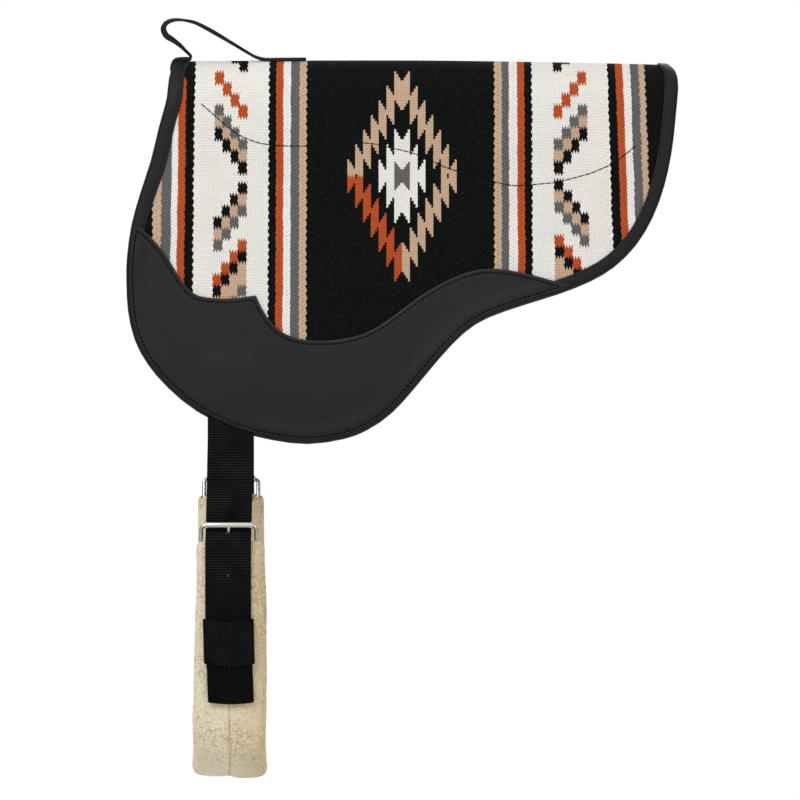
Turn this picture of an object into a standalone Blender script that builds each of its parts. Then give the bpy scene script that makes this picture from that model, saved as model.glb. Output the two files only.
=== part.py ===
"""Bareback pad with a buckled girth.

A woven blanket, a felt core and a fleece lining are folded over the horse's back. A tape binds
their edge, a wear leather covers each lower edge, and a webbing billet hangs from under each
leather. The billets buckle to a fleece-covered girth, which hangs below the pad as a U.
A hand strap is sewn to the ridge in front.

Metres, +Z up. +X runs to the rear, -Y is the near side. The origin is on the lining's underside,
under the middle of the ridge, where the horse's back would be.
"""

import math

import bmesh
import bpy
from mathutils import Matrix, Vector

# Clearances
part_gap = 0.0003
cut_overrun = 0.002
bore_clearance = 0.0003
strap_side_clearance = 0.0008
edge_clearance = 0.0008
pocket_clearance = 0.0009

# Pad: overall length and drop, and the way it folds
pad_length = 0.610
pad_drop = 0.426
ridge_inner_radius = 0.030
ridge_fall = 0.0055
ridge_crest_share = 0.387
lining_thickness = 0.006
felt_thickness = 0.010
blanket_thickness = 0.0035
binding_thickness = 0.0020
binding_face_width = 0.0155
leather_thickness = 0.0020
leather_edge_inset = 0.0035
fold_steps = 12

# Webbing, billets and their holes
webbing_width = 0.0508
webbing_thickness = 0.0024
billet_centre_share = 0.188
billet_root_length = 0.075
hem_at_billet_share = 0.977
billet_below_hem = 0.0052
near_hanging_length = 0.0943
billet_length = 0.2906
hole_pitch = 0.0508
hole_width = 0.0052
hole_length = 0.0080
holes_below_tongue = 3
billet_corner_radius = 0.004
billet_swing_limit = math.radians(10)
open_pivot_clearance = 0.0008

# Buckles
buckle_inner_width = 0.0562
buckle_wire = 0.0044
buckle_height = 0.032
buckle_corner_radius = 0.0040
roller_diameter = 0.0085
roller_length = 0.0544
roller_chamfer = 0.0006
tongue_wire = 0.0036
tongue_overshoot = 0.0012
tongue_slot_clearance = 0.0010
tongue_tip_limit = math.radians(3)
strap_pass_angle = math.radians(60)

# Girth: fleece sleeve round a webbing core
sleeve_thickness = 0.026
sleeve_top_width = 0.073
sleeve_middle_width = 0.077
sleeve_bottom_width = 0.083
sleeve_edge_radius = 0.0105
sleeve_top_cover = 0.0135
girth_depth = 0.2803
chape_length = 0.042
chape_fold_angle = math.radians(45)

# Keeper loops for the billet ends
keeper_height = 0.0532
keeper_wrap_clearance = 0.0012
keeper_below_roller = 0.1286

# Hand strap on the ridge, in front
handle_width = 0.0254
handle_thickness = 0.0032
handle_front_share = 0.064
handle_length = 0.160
handle_rise = 0.0455
handle_foot_length = 0.019
handle_tail_length = 0.048
handle_foot_share = 0.205
handle_tail_share = 0.700
handle_fold_share = 0.75
handle_fold_angle = math.radians(122)

# Small proportions: how round a punched hole's ends are, how far past its corners the tail's
# straight edges begin, how far a cut runs over the pad's edge, how much a mitre may stretch,
# the strap's angle left free of the roller past its swing, and the wire's wrap round the bar
hole_end_share = 0.98
tail_corner_share = 1.5
edge_run_share = 0.5
least_mitre = 0.5
strap_break_margin = math.radians(1.5)
eye_wrap_angle = math.radians(300)

# Outline of one flap, from the ridge in front, down round the hem and up to the ridge behind.
# Shares of the pad's length, from the front, and of its drop, from the ridge.
flap_edge_shares = [
    (0.086, 0.000), (0.082, 0.010), (0.0765, 0.040), (0.073, 0.095), (0.066, 0.137), (0.058, 0.178),
    (0.044, 0.261), (0.025, 0.344), (0.009, 0.427), (0.001, 0.510), (0.000, 0.572),
    (0.003, 0.650), (0.015, 0.724), (0.038, 0.787), (0.075, 0.850), (0.129, 0.914),
    (0.198, 0.963), (0.264, 0.989), (0.329, 1.000), (0.395, 0.987), (0.438, 0.963),
    (0.482, 0.919), (0.525, 0.851), (0.569, 0.775), (0.613, 0.709), (0.656, 0.669),
    (0.722, 0.634), (0.787, 0.603), (0.842, 0.570), (0.885, 0.532), (0.925, 0.473),
    (0.955, 0.400), (0.976, 0.317), (0.989, 0.231), (0.996, 0.147), (1.001, 0.060),
    (1.001, 0.030), (0.998, 0.014), (0.991, 0.003), (0.989, 0.000),
]

# Upper edge of the wear leather in the same shares: front horn, hollow, peak, belly, rear horn.
leather_front_shares = [
    (0.019, 0.430), (0.045, 0.461), (0.067, 0.496), (0.083, 0.531), (0.101, 0.573),
    (0.116, 0.598), (0.132, 0.613), (0.158, 0.619), (0.189, 0.621), (0.215, 0.617),
    (0.235, 0.613),
]
leather_rear_shares = [
    (0.235, 0.613), (0.244, 0.641), (0.259, 0.676), (0.279, 0.705), (0.303, 0.722),
    (0.330, 0.730), (0.361, 0.731), (0.392, 0.727), (0.427, 0.715), (0.458, 0.693),
    (0.493, 0.658), (0.528, 0.620), (0.568, 0.584), (0.603, 0.560), (0.638, 0.545),
    (0.668, 0.542), (0.697, 0.546), (0.727, 0.554), (0.757, 0.564), (0.779, 0.573),
    (0.798, 0.583),
]

# Places of the sleeve's widths along its length: top, middle, bottom, bottom, middle, top.
sleeve_place_shares = (0.0, 0.15, 0.38, 0.56, 0.83, 1.0)

# Middle line of the hand strap's free loop: shares of its length and of its rise over the ridge.
handle_loop_shares = [
    (0.164, 0.225), (0.120, 0.362), (0.067, 0.497), (0.026, 0.585), (0.003, 0.700),
    (0.004, 0.815), (0.032, 0.910), (0.083, 0.958), (0.142, 0.955), (0.218, 0.910),
    (0.278, 0.830), (0.368, 0.660), (0.481, 0.425), (0.594, 0.195), (0.655, 0.085),
]

# Points nearer to each other than this are one point
merge_distance = part_gap / 30

# Layers of the pad, as distances out from the lining's inner face
felt_inner = lining_thickness + part_gap
blanket_inner = felt_inner + felt_thickness + part_gap
blanket_outer = blanket_inner + blanket_thickness
binding_inner = -part_gap - binding_thickness
outer_layer = blanket_outer + part_gap
binding_outer = outer_layer + binding_thickness
leather_inner = outer_layer + max(binding_thickness, webbing_thickness) + part_gap
leather_outer = leather_inner + leather_thickness
ridge_outer_radius = ridge_inner_radius + blanket_outer
ridge_top = blanket_outer

# Where the billets and the girth hang
billet_x = (billet_centre_share - 0.5) * pad_length
billet_out = ridge_inner_radius + outer_layer + webbing_thickness / 2
hinge_z = ridge_top - pad_drop * hem_at_billet_share - billet_below_hem
near_roller_z = hinge_z - near_hanging_length
off_roller_z = near_roller_z + hole_pitch
billet_end_z = hinge_z - billet_length
girth_lowest_z = near_roller_z - girth_depth
roller_reach = roller_diameter / 2 + part_gap + webbing_thickness / 2
roller_out = billet_out + roller_reach
swing_ratio = (hinge_z - near_roller_z) / (hinge_z - off_roller_z)
near_strap_break = billet_swing_limit + strap_break_margin
off_strap_break = billet_swing_limit * swing_ratio + strap_break_margin
bar_reach = buckle_wire / 2 + part_gap + webbing_thickness / 2
bar_out = billet_out - bar_reach
tail_out = (billet_out + sleeve_thickness / 2 + part_gap + webbing_thickness + part_gap
            + webbing_thickness / 2)

parts = bpy.data.collections.new("bareback_pad")
cutters = bpy.data.collections.new("bareback_pad_cutters")


def clear_scene():
    """Start from an empty scene with the two collections of this model."""
    for obj in list(bpy.data.objects):
        bpy.data.objects.remove(obj, do_unlink=True)
    bpy.context.scene.collection.children.link(parts)
    bpy.context.scene.collection.children.link(cutters)


def finish_material(name, colour, roughness, metallic=0.0):
    """A plain Principled material."""
    made = bpy.data.materials.new(name)
    made.use_nodes = True
    shader = made.node_tree.nodes["Principled BSDF"]
    shader.inputs["Base Color"].default_value = (*colour, 1.0)
    shader.inputs["Roughness"].default_value = roughness
    shader.inputs["Metallic"].default_value = metallic
    made.diffuse_color = (*colour, 1.0)
    return made


# Curves and paths in a plane


def smooth_line(points, steps, closed):
    """Points on a smooth curve that passes through the given points."""
    count = len(points)
    spans = count if closed else count - 1
    line = []
    for i in range(spans):
        if closed:
            before, start, end, after = (Vector(points[(i + k) % count]) for k in (-1, 0, 1, 2))
        else:
            before, start, end, after = (
                Vector(points[min(max(i + k, 0), count - 1)]) for k in (-1, 0, 1, 2)
            )
        for j in range(steps):
            t = j / steps
            line.append(
                0.5 * (2 * start + (end - before) * t
                       + (2 * before - 5 * start + 4 * end - after) * t * t
                       + (3 * start - before - 3 * end + after) * t ** 3)
            )
    if not closed:
        line.append(Vector(points[-1]))
    return line


def left_of(direction):
    """The unit vector a quarter turn to the left."""
    return Vector((-direction.y, direction.x)).normalized()


def offset_outline(points, distance):
    """A closed outline moved to its left by a distance."""
    count = len(points)
    moved = []
    for i in range(count):
        before = left_of(points[i] - points[i - 1])
        after = left_of(points[(i + 1) % count] - points[i])
        lean = (before + after).normalized()
        moved.append(points[i] + lean * distance / max(lean.dot(after), least_mitre))
    return moved


def thicken_line(points, thickness):
    """The closed outline of a strap seen on edge, from its middle line."""
    sides = []
    for i, point in enumerate(points):
        before = points[max(i - 1, 0)]
        after = points[min(i + 1, len(points) - 1)]
        sides.append(left_of(after - before) * thickness / 2)
    upper = [p + s for p, s in zip(points, sides)]
    lower = [p - s for p, s in zip(points, sides)]
    return upper + lower[::-1]


def rounded_box(centre, width, height, radius, steps=4):
    """A closed rectangle with rounded corners, anticlockwise."""
    outline = []
    for corner in range(4):
        across = 1 if corner in (0, 3) else -1
        up = 1 if corner < 2 else -1
        middle = Vector(centre) + Vector(
            (across * (width / 2 - radius), up * (height / 2 - radius))
        )
        for i in range(steps + 1):
            angle = (corner + i / steps) * math.pi / 2
            outline.append(middle + radius * Vector((math.cos(angle), math.sin(angle))))
    return outline


class Path:
    """A line of straights and turns in a plane, kept as stations: distance, point and left side."""

    def __init__(self, point, heading):
        self.heading = math.atan2(heading[1], heading[0])
        self.distance = 0.0
        self.stations = [(0.0, Vector(point), self.left())]

    def left(self):
        return Vector((-math.sin(self.heading), math.cos(self.heading)))

    def ahead(self):
        return Vector((math.cos(self.heading), math.sin(self.heading)))

    def line(self, length):
        point = self.stations[-1][1] + self.ahead() * length
        self.distance += length
        self.stations.append((self.distance, point, self.left()))
        return self

    def turn(self, radius, angle, steps):
        side = math.copysign(1.0, angle)
        centre = self.stations[-1][1] + self.left() * radius * side
        for _ in range(steps):
            self.heading += angle / steps
            self.distance += radius * abs(angle) / steps
            point = centre - self.left() * radius * side
            self.stations.append((self.distance, point, self.left()))
        return self

    def sidestep(self, shift, radius, angle, steps):
        """Two opposite turns and a straight, which move the line sideways; shift is to the left."""
        side = math.copysign(1.0, shift)
        bend = min(angle, math.acos(max(1 - abs(shift) / (2 * radius), -1.0)))
        straight = (abs(shift) - 2 * radius * (1 - math.cos(bend))) / math.sin(bend)
        self.turn(radius, bend * side, steps)
        self.line(straight)
        self.turn(radius, -bend * side, steps)
        return self

    def place(self, distance, offset):
        """The point at a distance along the line and an offset to its left."""
        last = len(self.stations) - 2
        i = 0
        while i < last and distance > self.stations[i + 1][0]:
            i += 1
        (d0, p0, n0), (d1, p1, n1) = self.stations[i], self.stations[i + 1]
        share = (distance - d0) / (d1 - d0)
        return p0.lerp(p1, share) + (n0 + (n1 - n0) * share) * offset


# Solids


def add_object(name, data, collection):
    """Link a new object and give it its data."""
    obj = bpy.data.objects.new(name, data)
    collection.objects.link(obj)
    if collection is cutters:
        obj.hide_render = True
        obj.display_type = "WIRE"
    return obj


def face_outward(body):
    """Turn a closed body's faces outward."""
    bmesh.ops.recalc_face_normals(body, faces=body.faces)
    if body.calc_volume(signed=True) < 0:
        bmesh.ops.reverse_faces(body, faces=body.faces)


def freeze(obj):
    """Replace an object by the mesh that its curve or its modifiers give, welded."""
    bpy.context.view_layer.update()
    evaluated = obj.evaluated_get(bpy.context.evaluated_depsgraph_get())
    mesh = bpy.data.meshes.new_from_object(evaluated)
    body = bmesh.new()
    body.from_mesh(mesh)
    bmesh.ops.remove_doubles(body, verts=body.verts, dist=merge_distance)
    face_outward(body)
    body.to_mesh(mesh)
    body.free()
    name, place, collection = obj.name, obj.matrix_world.copy(), obj.users_collection[0]
    bpy.data.objects.remove(obj, do_unlink=True)
    made = add_object(name, mesh, collection)
    made.matrix_world = place
    return made


def plate(name, outlines, low, high, collection=parts):
    """A flat plate from closed outlines; the inner ones are holes. It lies between two heights."""
    curve = bpy.data.curves.new(name, "CURVE")
    curve.dimensions = "2D"
    curve.fill_mode = "BOTH"
    curve.extrude = (high - low) / 2
    for outline in outlines:
        spline = curve.splines.new("POLY")
        spline.points.add(len(outline) - 1)
        for point, (x, y) in zip(spline.points, outline):
            point.co = (x, y, 0, 1)
        spline.use_cyclic_u = True
    obj = add_object(name, curve, collection)
    obj.location.z = (low + high) / 2
    made = freeze(obj)
    made.data.transform(made.matrix_world)
    made.matrix_world = Matrix()
    return made


def block(name, low, high, collection=cutters):
    """A box between two corners."""
    mesh = bpy.data.meshes.new(name)
    body = bmesh.new()
    bmesh.ops.create_cube(body, size=1.0)
    size = Vector(high) - Vector(low)
    middle = (Vector(high) + Vector(low)) / 2
    bmesh.ops.scale(body, vec=size, verts=body.verts)
    bmesh.ops.translate(body, vec=middle, verts=body.verts)
    body.to_mesh(mesh)
    body.free()
    return add_object(name, mesh, collection)


def cut(obj, *tools):
    """Cut the tools out of an object and keep the result as its mesh."""
    for tool in tools:
        modifier = obj.modifiers.new("cut", "BOOLEAN")
        modifier.operation = "DIFFERENCE"
        modifier.solver = "EXACT"
        modifier.object = tool
    return freeze(obj)


def round_edges(obj, width, segments):
    """Round the sharp edges of a plate and keep the result as its mesh."""
    modifier = obj.modifiers.new("round", "BEVEL")
    modifier.width = width
    modifier.segments = segments
    modifier.limit_method = "ANGLE"
    modifier.angle_limit = math.radians(40)
    return freeze(obj)


def bend(obj, path, start, world):
    """Bend a flat piece along a path: its Y runs along the path and its Z to the left of it."""
    body = bmesh.new()
    body.from_mesh(obj.data)
    bmesh.ops.dissolve_limit(
        body, angle_limit=math.radians(0.5), verts=body.verts, edges=body.edges
    )
    for distance, _, _ in path.stations[1:-1]:
        bmesh.ops.bisect_plane(
            body,
            geom=body.verts[:] + body.edges[:] + body.faces[:],
            dist=merge_distance,
            plane_co=(0, distance - start, 0),
            plane_no=(0, 1, 0),
        )
    for vert in body.verts:
        out, up = path.place(vert.co.y + start, vert.co.z)
        vert.co = world(vert.co.x, out, up)
    face_outward(body)
    body.to_mesh(obj.data)
    body.free()
    return obj


def set_material(obj, material, smooth=False):
    """Give a finished piece its material and shading."""
    obj.data.materials.clear()
    obj.data.materials.append(material)
    if smooth:
        obj.data.shade_smooth()
        obj.data.set_sharp_from_angle(angle=math.radians(35))


# The pad: layers cut flat as one piece, then folded over the ridge


def ridge_drop(x):
    """How far the ridge lies below its crest at a place along the pad."""
    crest = (ridge_crest_share - 0.5) * pad_length
    return ridge_fall * ((x - crest) / (pad_length / 2 - crest)) ** 2


def along_flap(depth):
    """Distance from the ridge over the outer face, for a depth below the ridge."""
    if depth < ridge_outer_radius:
        return ridge_outer_radius * math.acos(1 - depth / ridge_outer_radius)
    return ridge_outer_radius * math.pi / 2 + depth - ridge_outer_radius


def flap_point(shares):
    """A place on the flat near flap, from shares of the pad's length and drop."""
    return Vector(((shares[0] - 0.5) * pad_length, -along_flap(shares[1] * pad_drop)))


def pad_outline():
    """The whole flat outline of the pad, anticlockwise seen from outside."""
    near = [flap_point(shares) for shares in flap_edge_shares]
    off = [Vector((p.x, -p.y)) for p in near[-2:0:-1]]
    return smooth_line(near + off, 2, True)


def fold_path():
    """The pad's section: up the near flap, over the ridge and down the off flap."""
    reach = along_flap(pad_drop) + pad_drop * edge_run_share
    straight = reach - ridge_outer_radius * math.pi / 2
    path = Path((-ridge_outer_radius, -ridge_inner_radius - straight), (0, 1))
    path.line(straight)
    path.turn(ridge_outer_radius, -math.pi, fold_steps)
    path.line(straight)
    return path, reach


def fold(obj):
    """Fold a flat layer of the pad, whose Z counts from the lining's inner face."""
    path, reach = fold_path()
    obj.data.transform(Matrix.Translation((0, 0, -blanket_outer)))
    return bend(obj, path, reach, lambda x, out, up: Vector((x, out, up - ridge_drop(x))))


def build_layers(colours):
    """Lining, felt core and blanket, all to the same outline inside the binding."""
    edge = offset_outline(pad_outline(), binding_thickness + edge_clearance)
    for name, low, thickness in (
        ("fleece_lining", 0.0, lining_thickness),
        ("felt_core", felt_inner, felt_thickness),
        ("woven_blanket", blanket_inner, blanket_thickness),
    ):
        layer = plate(name, [edge], low, low + thickness)
        set_material(fold(layer), colours[name], True)


def build_binding(colours):
    """The tape round the edge: two faces and a hem, open inward, notched for each billet."""
    outline = pad_outline()
    ring = plate("edge_binding", [outline], binding_inner, binding_outer)
    pocket = plate(
        "binding_pocket", [offset_outline(outline, binding_thickness)],
        -part_gap, outer_layer, cutters,
    )
    window = plate(
        "binding_window", [offset_outline(outline, binding_face_width)],
        binding_inner - cut_overrun, binding_outer + cut_overrun, cutters,
    )
    half = webbing_width / 2 + strap_side_clearance
    inner_end = -along_flap(pad_drop) * edge_run_share
    outer_end = -along_flap(pad_drop) - cut_overrun
    notches = [
        block(
            f"binding_notch_{side_name}",
            (billet_x - half, min(side * inner_end, side * outer_end), blanket_outer),
            (billet_x + half, max(side * inner_end, side * outer_end), binding_outer + cut_overrun),
        )
        for side_name, side in (("near", 1), ("off", -1))
    ]
    ring = cut(ring, pocket, window, *notches)
    set_material(fold(ring), colours["edge_binding"], True)


def build_wear_leather(name, side, colours):
    """The leather over a flap's lower edge. Its lower side follows the hem, set in a little."""
    hem = offset_outline(pad_outline(), leather_edge_inset)
    leather = plate(name, [hem], 0, leather_thickness)
    upper = smooth_line([flap_point(s) for s in leather_front_shares], 2, False)[:-1]
    upper += smooth_line([flap_point(s) for s in leather_rear_shares], 2, False)
    over = pad_length / 2 + cut_overrun
    top = along_flap(pad_drop) + cut_overrun
    front, rear = upper[0], upper[-1]
    keep_out = [Vector((-over, front.y)), *upper, Vector((over, rear.y)),
                Vector((over, top)), Vector((-over, top))]
    tool = plate(
        f"{name}_above", [keep_out], -cut_overrun, leather_thickness + cut_overrun, cutters
    )
    leather = cut(leather, tool)
    for vert in leather.data.vertices:
        depth = -vert.co.y - ridge_outer_radius * math.pi / 2 + ridge_outer_radius
        out = ridge_inner_radius + leather_inner + vert.co.z
        x = vert.co.x
        vert.co = Vector((x, side * out, ridge_top - depth - ridge_drop(x)))
    leather.data.update()
    leather = freeze(leather)
    set_material(leather, colours["wear_leather"])


# Billets, buckles and keepers; side is -1 for near and 1 for off, out is measured from the middle


def strap_path(roller_z):
    """A billet's middle line: down to the roller, behind it, out through the buckle and down."""
    path = Path((billet_out, hinge_z), (0, -1))
    path.line(hinge_z - roller_z)
    path.sidestep(tail_out - billet_out, roller_reach, strap_pass_angle, 6)
    path.line(path.stations[-1][1].y - billet_end_z)
    return path


def tongue_line(roller_z):
    """Start, direction and length of the tongue's shaft, tangent to its eye and to the roller."""
    bar = Vector((bar_out, roller_z - buckle_height))
    roller = Vector((roller_out, roller_z))
    eye = buckle_wire / 2 + bore_clearance + tongue_wire / 2
    rest = roller_diameter / 2 + part_gap + tongue_wire / 2
    between = roller - bar
    lean = math.atan2(between.x, between.y) + math.asin((rest - eye) / between.length)
    along = Vector((math.sin(lean), math.cos(lean)))
    outward = Vector((along.y, -along.x))
    length = math.sqrt(between.length_squared - (rest - eye) ** 2)
    return bar, outward, along, eye, length


def tongue_hole_distance(roller_z):
    """Distance along the billet to the hole that the tongue passes through."""
    bar, outward, along, eye, _ = tongue_line(roller_z)
    start = bar + outward * eye
    path = strap_path(roller_z)
    for (d0, p0, _), (d1, p1, _) in zip(path.stations, path.stations[1:]):
        a = (p0 - start).dot(outward)
        b = (p1 - start).dot(outward)
        if a <= 0 < b:
            return d0 + (d1 - d0) * a / (a - b)
    return path.distance / 2


def hole_outline(distance):
    """A punched hole, longer along the strap than across it."""
    radius = hole_width / 2 * hole_end_share
    return rounded_box((billet_x, distance), hole_width, hole_length, radius)


def build_billet(side_name, side, roller_z, strap_break, clearance, colours):
    """The three lengths of one billet: sewn root, hanging part above the buckle, and tail."""
    path = strap_path(roller_z)
    half = webbing_thickness / 2
    straight = hinge_z - roller_z
    tongue_at = tongue_hole_distance(roller_z)
    steps_down = holes_below_tongue + round((roller_z - near_roller_z) / hole_pitch)
    holes = [tongue_at + hole_pitch * i for i in range(-1, steps_down + 1)]
    to_world = lambda x, out, up: Vector((x, side * out, up))

    upper = [hole_outline(d) for d in holes if hole_length < d < straight - hole_length]
    size = straight - clearance
    body = rounded_box((billet_x, size / 2), webbing_width, size, webbing_thickness / 4, 1)
    hanging = plate(f"{side_name}_billet", [body, *upper], -half, half)
    set_material(bend(hanging, path, 0, to_world), colours["webbing"])

    start = straight + strap_break * roller_reach
    end = path.distance
    lower = [hole_outline(d) for d in holes if start + hole_length / 2 < d < end - hole_length]
    body = rounded_box(
        (billet_x, (start + end) / 2), webbing_width, end - start, billet_corner_radius
    )
    left, right = billet_x - webbing_width / 2, billet_x + webbing_width / 2
    square = [Vector((left, start)), Vector((right, start))]
    body = square + [p for p in body if p.y > start + billet_corner_radius * tail_corner_share]
    tail = plate(f"{side_name}_billet_tail", [body, *lower], -half, half)
    set_material(bend(tail, path, 0, to_world), colours["webbing"])

    end_gap = half * math.sin(off_strap_break) + part_gap
    root = block(
        f"{side_name}_billet_root",
        (billet_x - webbing_width / 2, billet_out - half, hinge_z + end_gap),
        (billet_x + webbing_width / 2, billet_out + half, hinge_z + billet_root_length),
        parts,
    )
    for vert in root.data.vertices:
        vert.co.y *= side
    root = freeze(root)
    set_material(root, colours["webbing"])


def build_frame(side_name, side, roller_z, colours):
    """The buckle's wire frame, leaning outward from its lower bar to its upper bar."""
    bar = Vector((bar_out, roller_z - buckle_height))
    up = (Vector((roller_out, roller_z)) - bar)
    width = buckle_inner_width + buckle_wire
    loop = rounded_box((0, up.length / 2), width, up.length, buckle_corner_radius, 5)
    direction = up.normalized()
    curve = bpy.data.curves.new(f"{side_name}_buckle_frame", "CURVE")
    curve.dimensions = "3D"
    curve.bevel_depth = buckle_wire / 2
    curve.bevel_resolution = 3
    spline = curve.splines.new("POLY")
    spline.points.add(len(loop) - 1)
    for point, place in zip(spline.points, loop):
        point.co = (billet_x + place.x, place.y * direction.x * side, place.y * direction.y, 1)
    spline.use_cyclic_u = True
    obj = add_object(f"{side_name}_buckle_frame", curve, parts)
    obj.location = (0, side * bar.x, bar.y)
    set_material(freeze(obj), colours["nickel"], True)


def build_roller(side_name, side, roller_z, colours):
    """The loose tube on the buckle's upper bar, turned round the bar's axis."""
    outer = roller_diameter / 2
    bore = buckle_wire / 2 + bore_clearance
    half = roller_length / 2
    profile = [
        (outer - roller_chamfer, half), (outer, half - roller_chamfer),
        (outer, -half + roller_chamfer), (outer - roller_chamfer, -half),
        (bore, -half), (bore, half),
    ]
    body = bmesh.new()
    verts = [body.verts.new((x, 0, z)) for x, z in profile]
    for i, vert in enumerate(verts):
        body.edges.new((vert, verts[(i + 1) % len(verts)]))
    mesh = bpy.data.meshes.new(f"{side_name}_buckle_roller")
    body.to_mesh(mesh)
    body.free()
    obj = add_object(f"{side_name}_buckle_roller", mesh, parts)
    spin = obj.modifiers.new("turned", "SCREW")
    spin.steps = 28
    spin.render_steps = 28
    spin.merge_threshold = merge_distance
    spin.use_merge_vertices = True
    obj.rotation_euler = (0, math.pi / 2, 0)
    obj.location = (billet_x, side * roller_out, roller_z)
    set_material(freeze(obj), colours["nickel"], True)


def build_tongue(side_name, side, roller_z, colours):
    """The tongue: an eye of wire round the lower bar and a shaft that rests on the roller."""
    bar, outward, along, eye, length = tongue_line(roller_z)
    line = []
    turns = 16
    for i in range(turns + 1):
        angle = eye_wrap_angle * (1 - i / turns)
        line.append(outward * eye * math.cos(angle) - along * eye * math.sin(angle))
    for i in range(1, 4):
        line.append(outward * eye + along * (length + tongue_overshoot) * i / 3)
    curve = bpy.data.curves.new(f"{side_name}_buckle_tongue", "CURVE")
    curve.dimensions = "3D"
    curve.bevel_depth = tongue_wire / 2
    curve.bevel_resolution = 3
    curve.use_fill_caps = True
    spline = curve.splines.new("POLY")
    spline.points.add(len(line) - 1)
    for point, place in zip(spline.points, line):
        point.co = (0, side * place.x, place.y, 1)
    obj = add_object(f"{side_name}_buckle_tongue", curve, parts)
    obj.location = (billet_x, side * bar.x, bar.y)
    set_material(freeze(obj), colours["nickel"], True)


def build_keeper(side_name, side, roller_z, colours):
    """The loop of webbing, sewn to the sleeve, that holds the billet's tail."""
    inner_width = webbing_width + keeper_wrap_clearance
    inner_depth = webbing_thickness + 2 * part_gap
    outer_width = inner_width + 2 * webbing_thickness
    outer_depth = inner_depth + 2 * webbing_thickness
    centre = (billet_x, side * tail_out)
    middle = roller_z - keeper_below_roller
    loop = plate(
        f"{side_name}_keeper_loop",
        [
            rounded_box(centre, outer_width, outer_depth, webbing_thickness),
            rounded_box(centre, inner_width, inner_depth, part_gap),
        ],
        middle - keeper_height / 2,
        middle + keeper_height / 2,
    )
    set_material(loop, colours["webbing"])


# The girth: a webbing core from bar to bar and a fleece sleeve over it


def girth_path():
    """Down the near half, round the bottom and up the off half, between the two sleeve tops."""
    radius = billet_out
    near_top = near_roller_z - buckle_height + sleeve_top_cover
    off_top = off_roller_z - buckle_height + sleeve_top_cover
    centre_z = girth_lowest_z + sleeve_thickness / 2 + radius
    path = Path((-billet_out, near_top), (0, -1))
    path.line(near_top - centre_z)
    path.turn(radius, math.pi, 12)
    path.line(off_top - centre_z)
    return path


def build_sleeve(colours):
    """The fleece sleeve: soft edges, a slot for the core and a pocket at each end for the buckle."""
    path = girth_path()
    total = path.distance
    widths = (sleeve_top_width, sleeve_middle_width, sleeve_bottom_width)
    edge = [
        (-width / 2, total * share)
        for width, share in zip(widths + widths[::-1], sleeve_place_shares)
    ]
    side = smooth_line(edge, 3, False)
    outline = [Vector((billet_x - p.x, p.y)) for p in side]
    outline += [Vector((billet_x + p.x, p.y)) for p in side[::-1]]
    half = sleeve_thickness / 2
    sleeve = plate("girth_fleece", [outline], -half, half)
    sleeve = round_edges(sleeve, sleeve_edge_radius, 3)

    wide = buckle_inner_width / 2 + buckle_wire + pocket_clearance
    narrow = webbing_width / 2 + strap_side_clearance
    thin = webbing_thickness / 2 + part_gap
    eye = buckle_wire / 2 + bore_clearance + tongue_wire
    bar, out, along, eye_radius, _ = tongue_line(near_roller_z)
    rise = (sleeve_top_cover - out.y * eye_radius) / along.y
    shaft_out = bar.x + out.x * eye_radius + along.x * rise + tongue_wire / 2 / along.y
    tip_travel = sleeve_top_cover * math.tan(tongue_tip_limit)
    outward = shaft_out - billet_out + tip_travel + pocket_clearance
    inward = eye + bar_reach + part_gap
    deep = sleeve_top_cover + eye + part_gap
    leg = sleeve_top_cover + chape_length + pocket_clearance
    tools = [block("sleeve_slot", (billet_x - narrow, -cut_overrun, -thin),
                   (billet_x + narrow, total + cut_overrun, thin))]
    for name, low, far, leg_low, leg_far in (
        ("near", -cut_overrun, deep, -cut_overrun, leg),
        ("off", total - deep, total + cut_overrun, total - leg, total + cut_overrun),
    ):
        tools.append(block(f"sleeve_pocket_{name}", (billet_x - wide, low, -outward),
                           (billet_x + wide, far, inward)))
        tools.append(block(f"sleeve_leg_{name}", (billet_x - narrow, leg_low, -thin),
                           (billet_x + narrow, leg_far, 2 * bar_reach + thin)))
    sleeve = cut(sleeve, *tools)
    bend(sleeve, path, 0, lambda x, out, up: Vector((x, out, up)))
    set_material(sleeve, colours["girth_fleece"], True)


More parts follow.
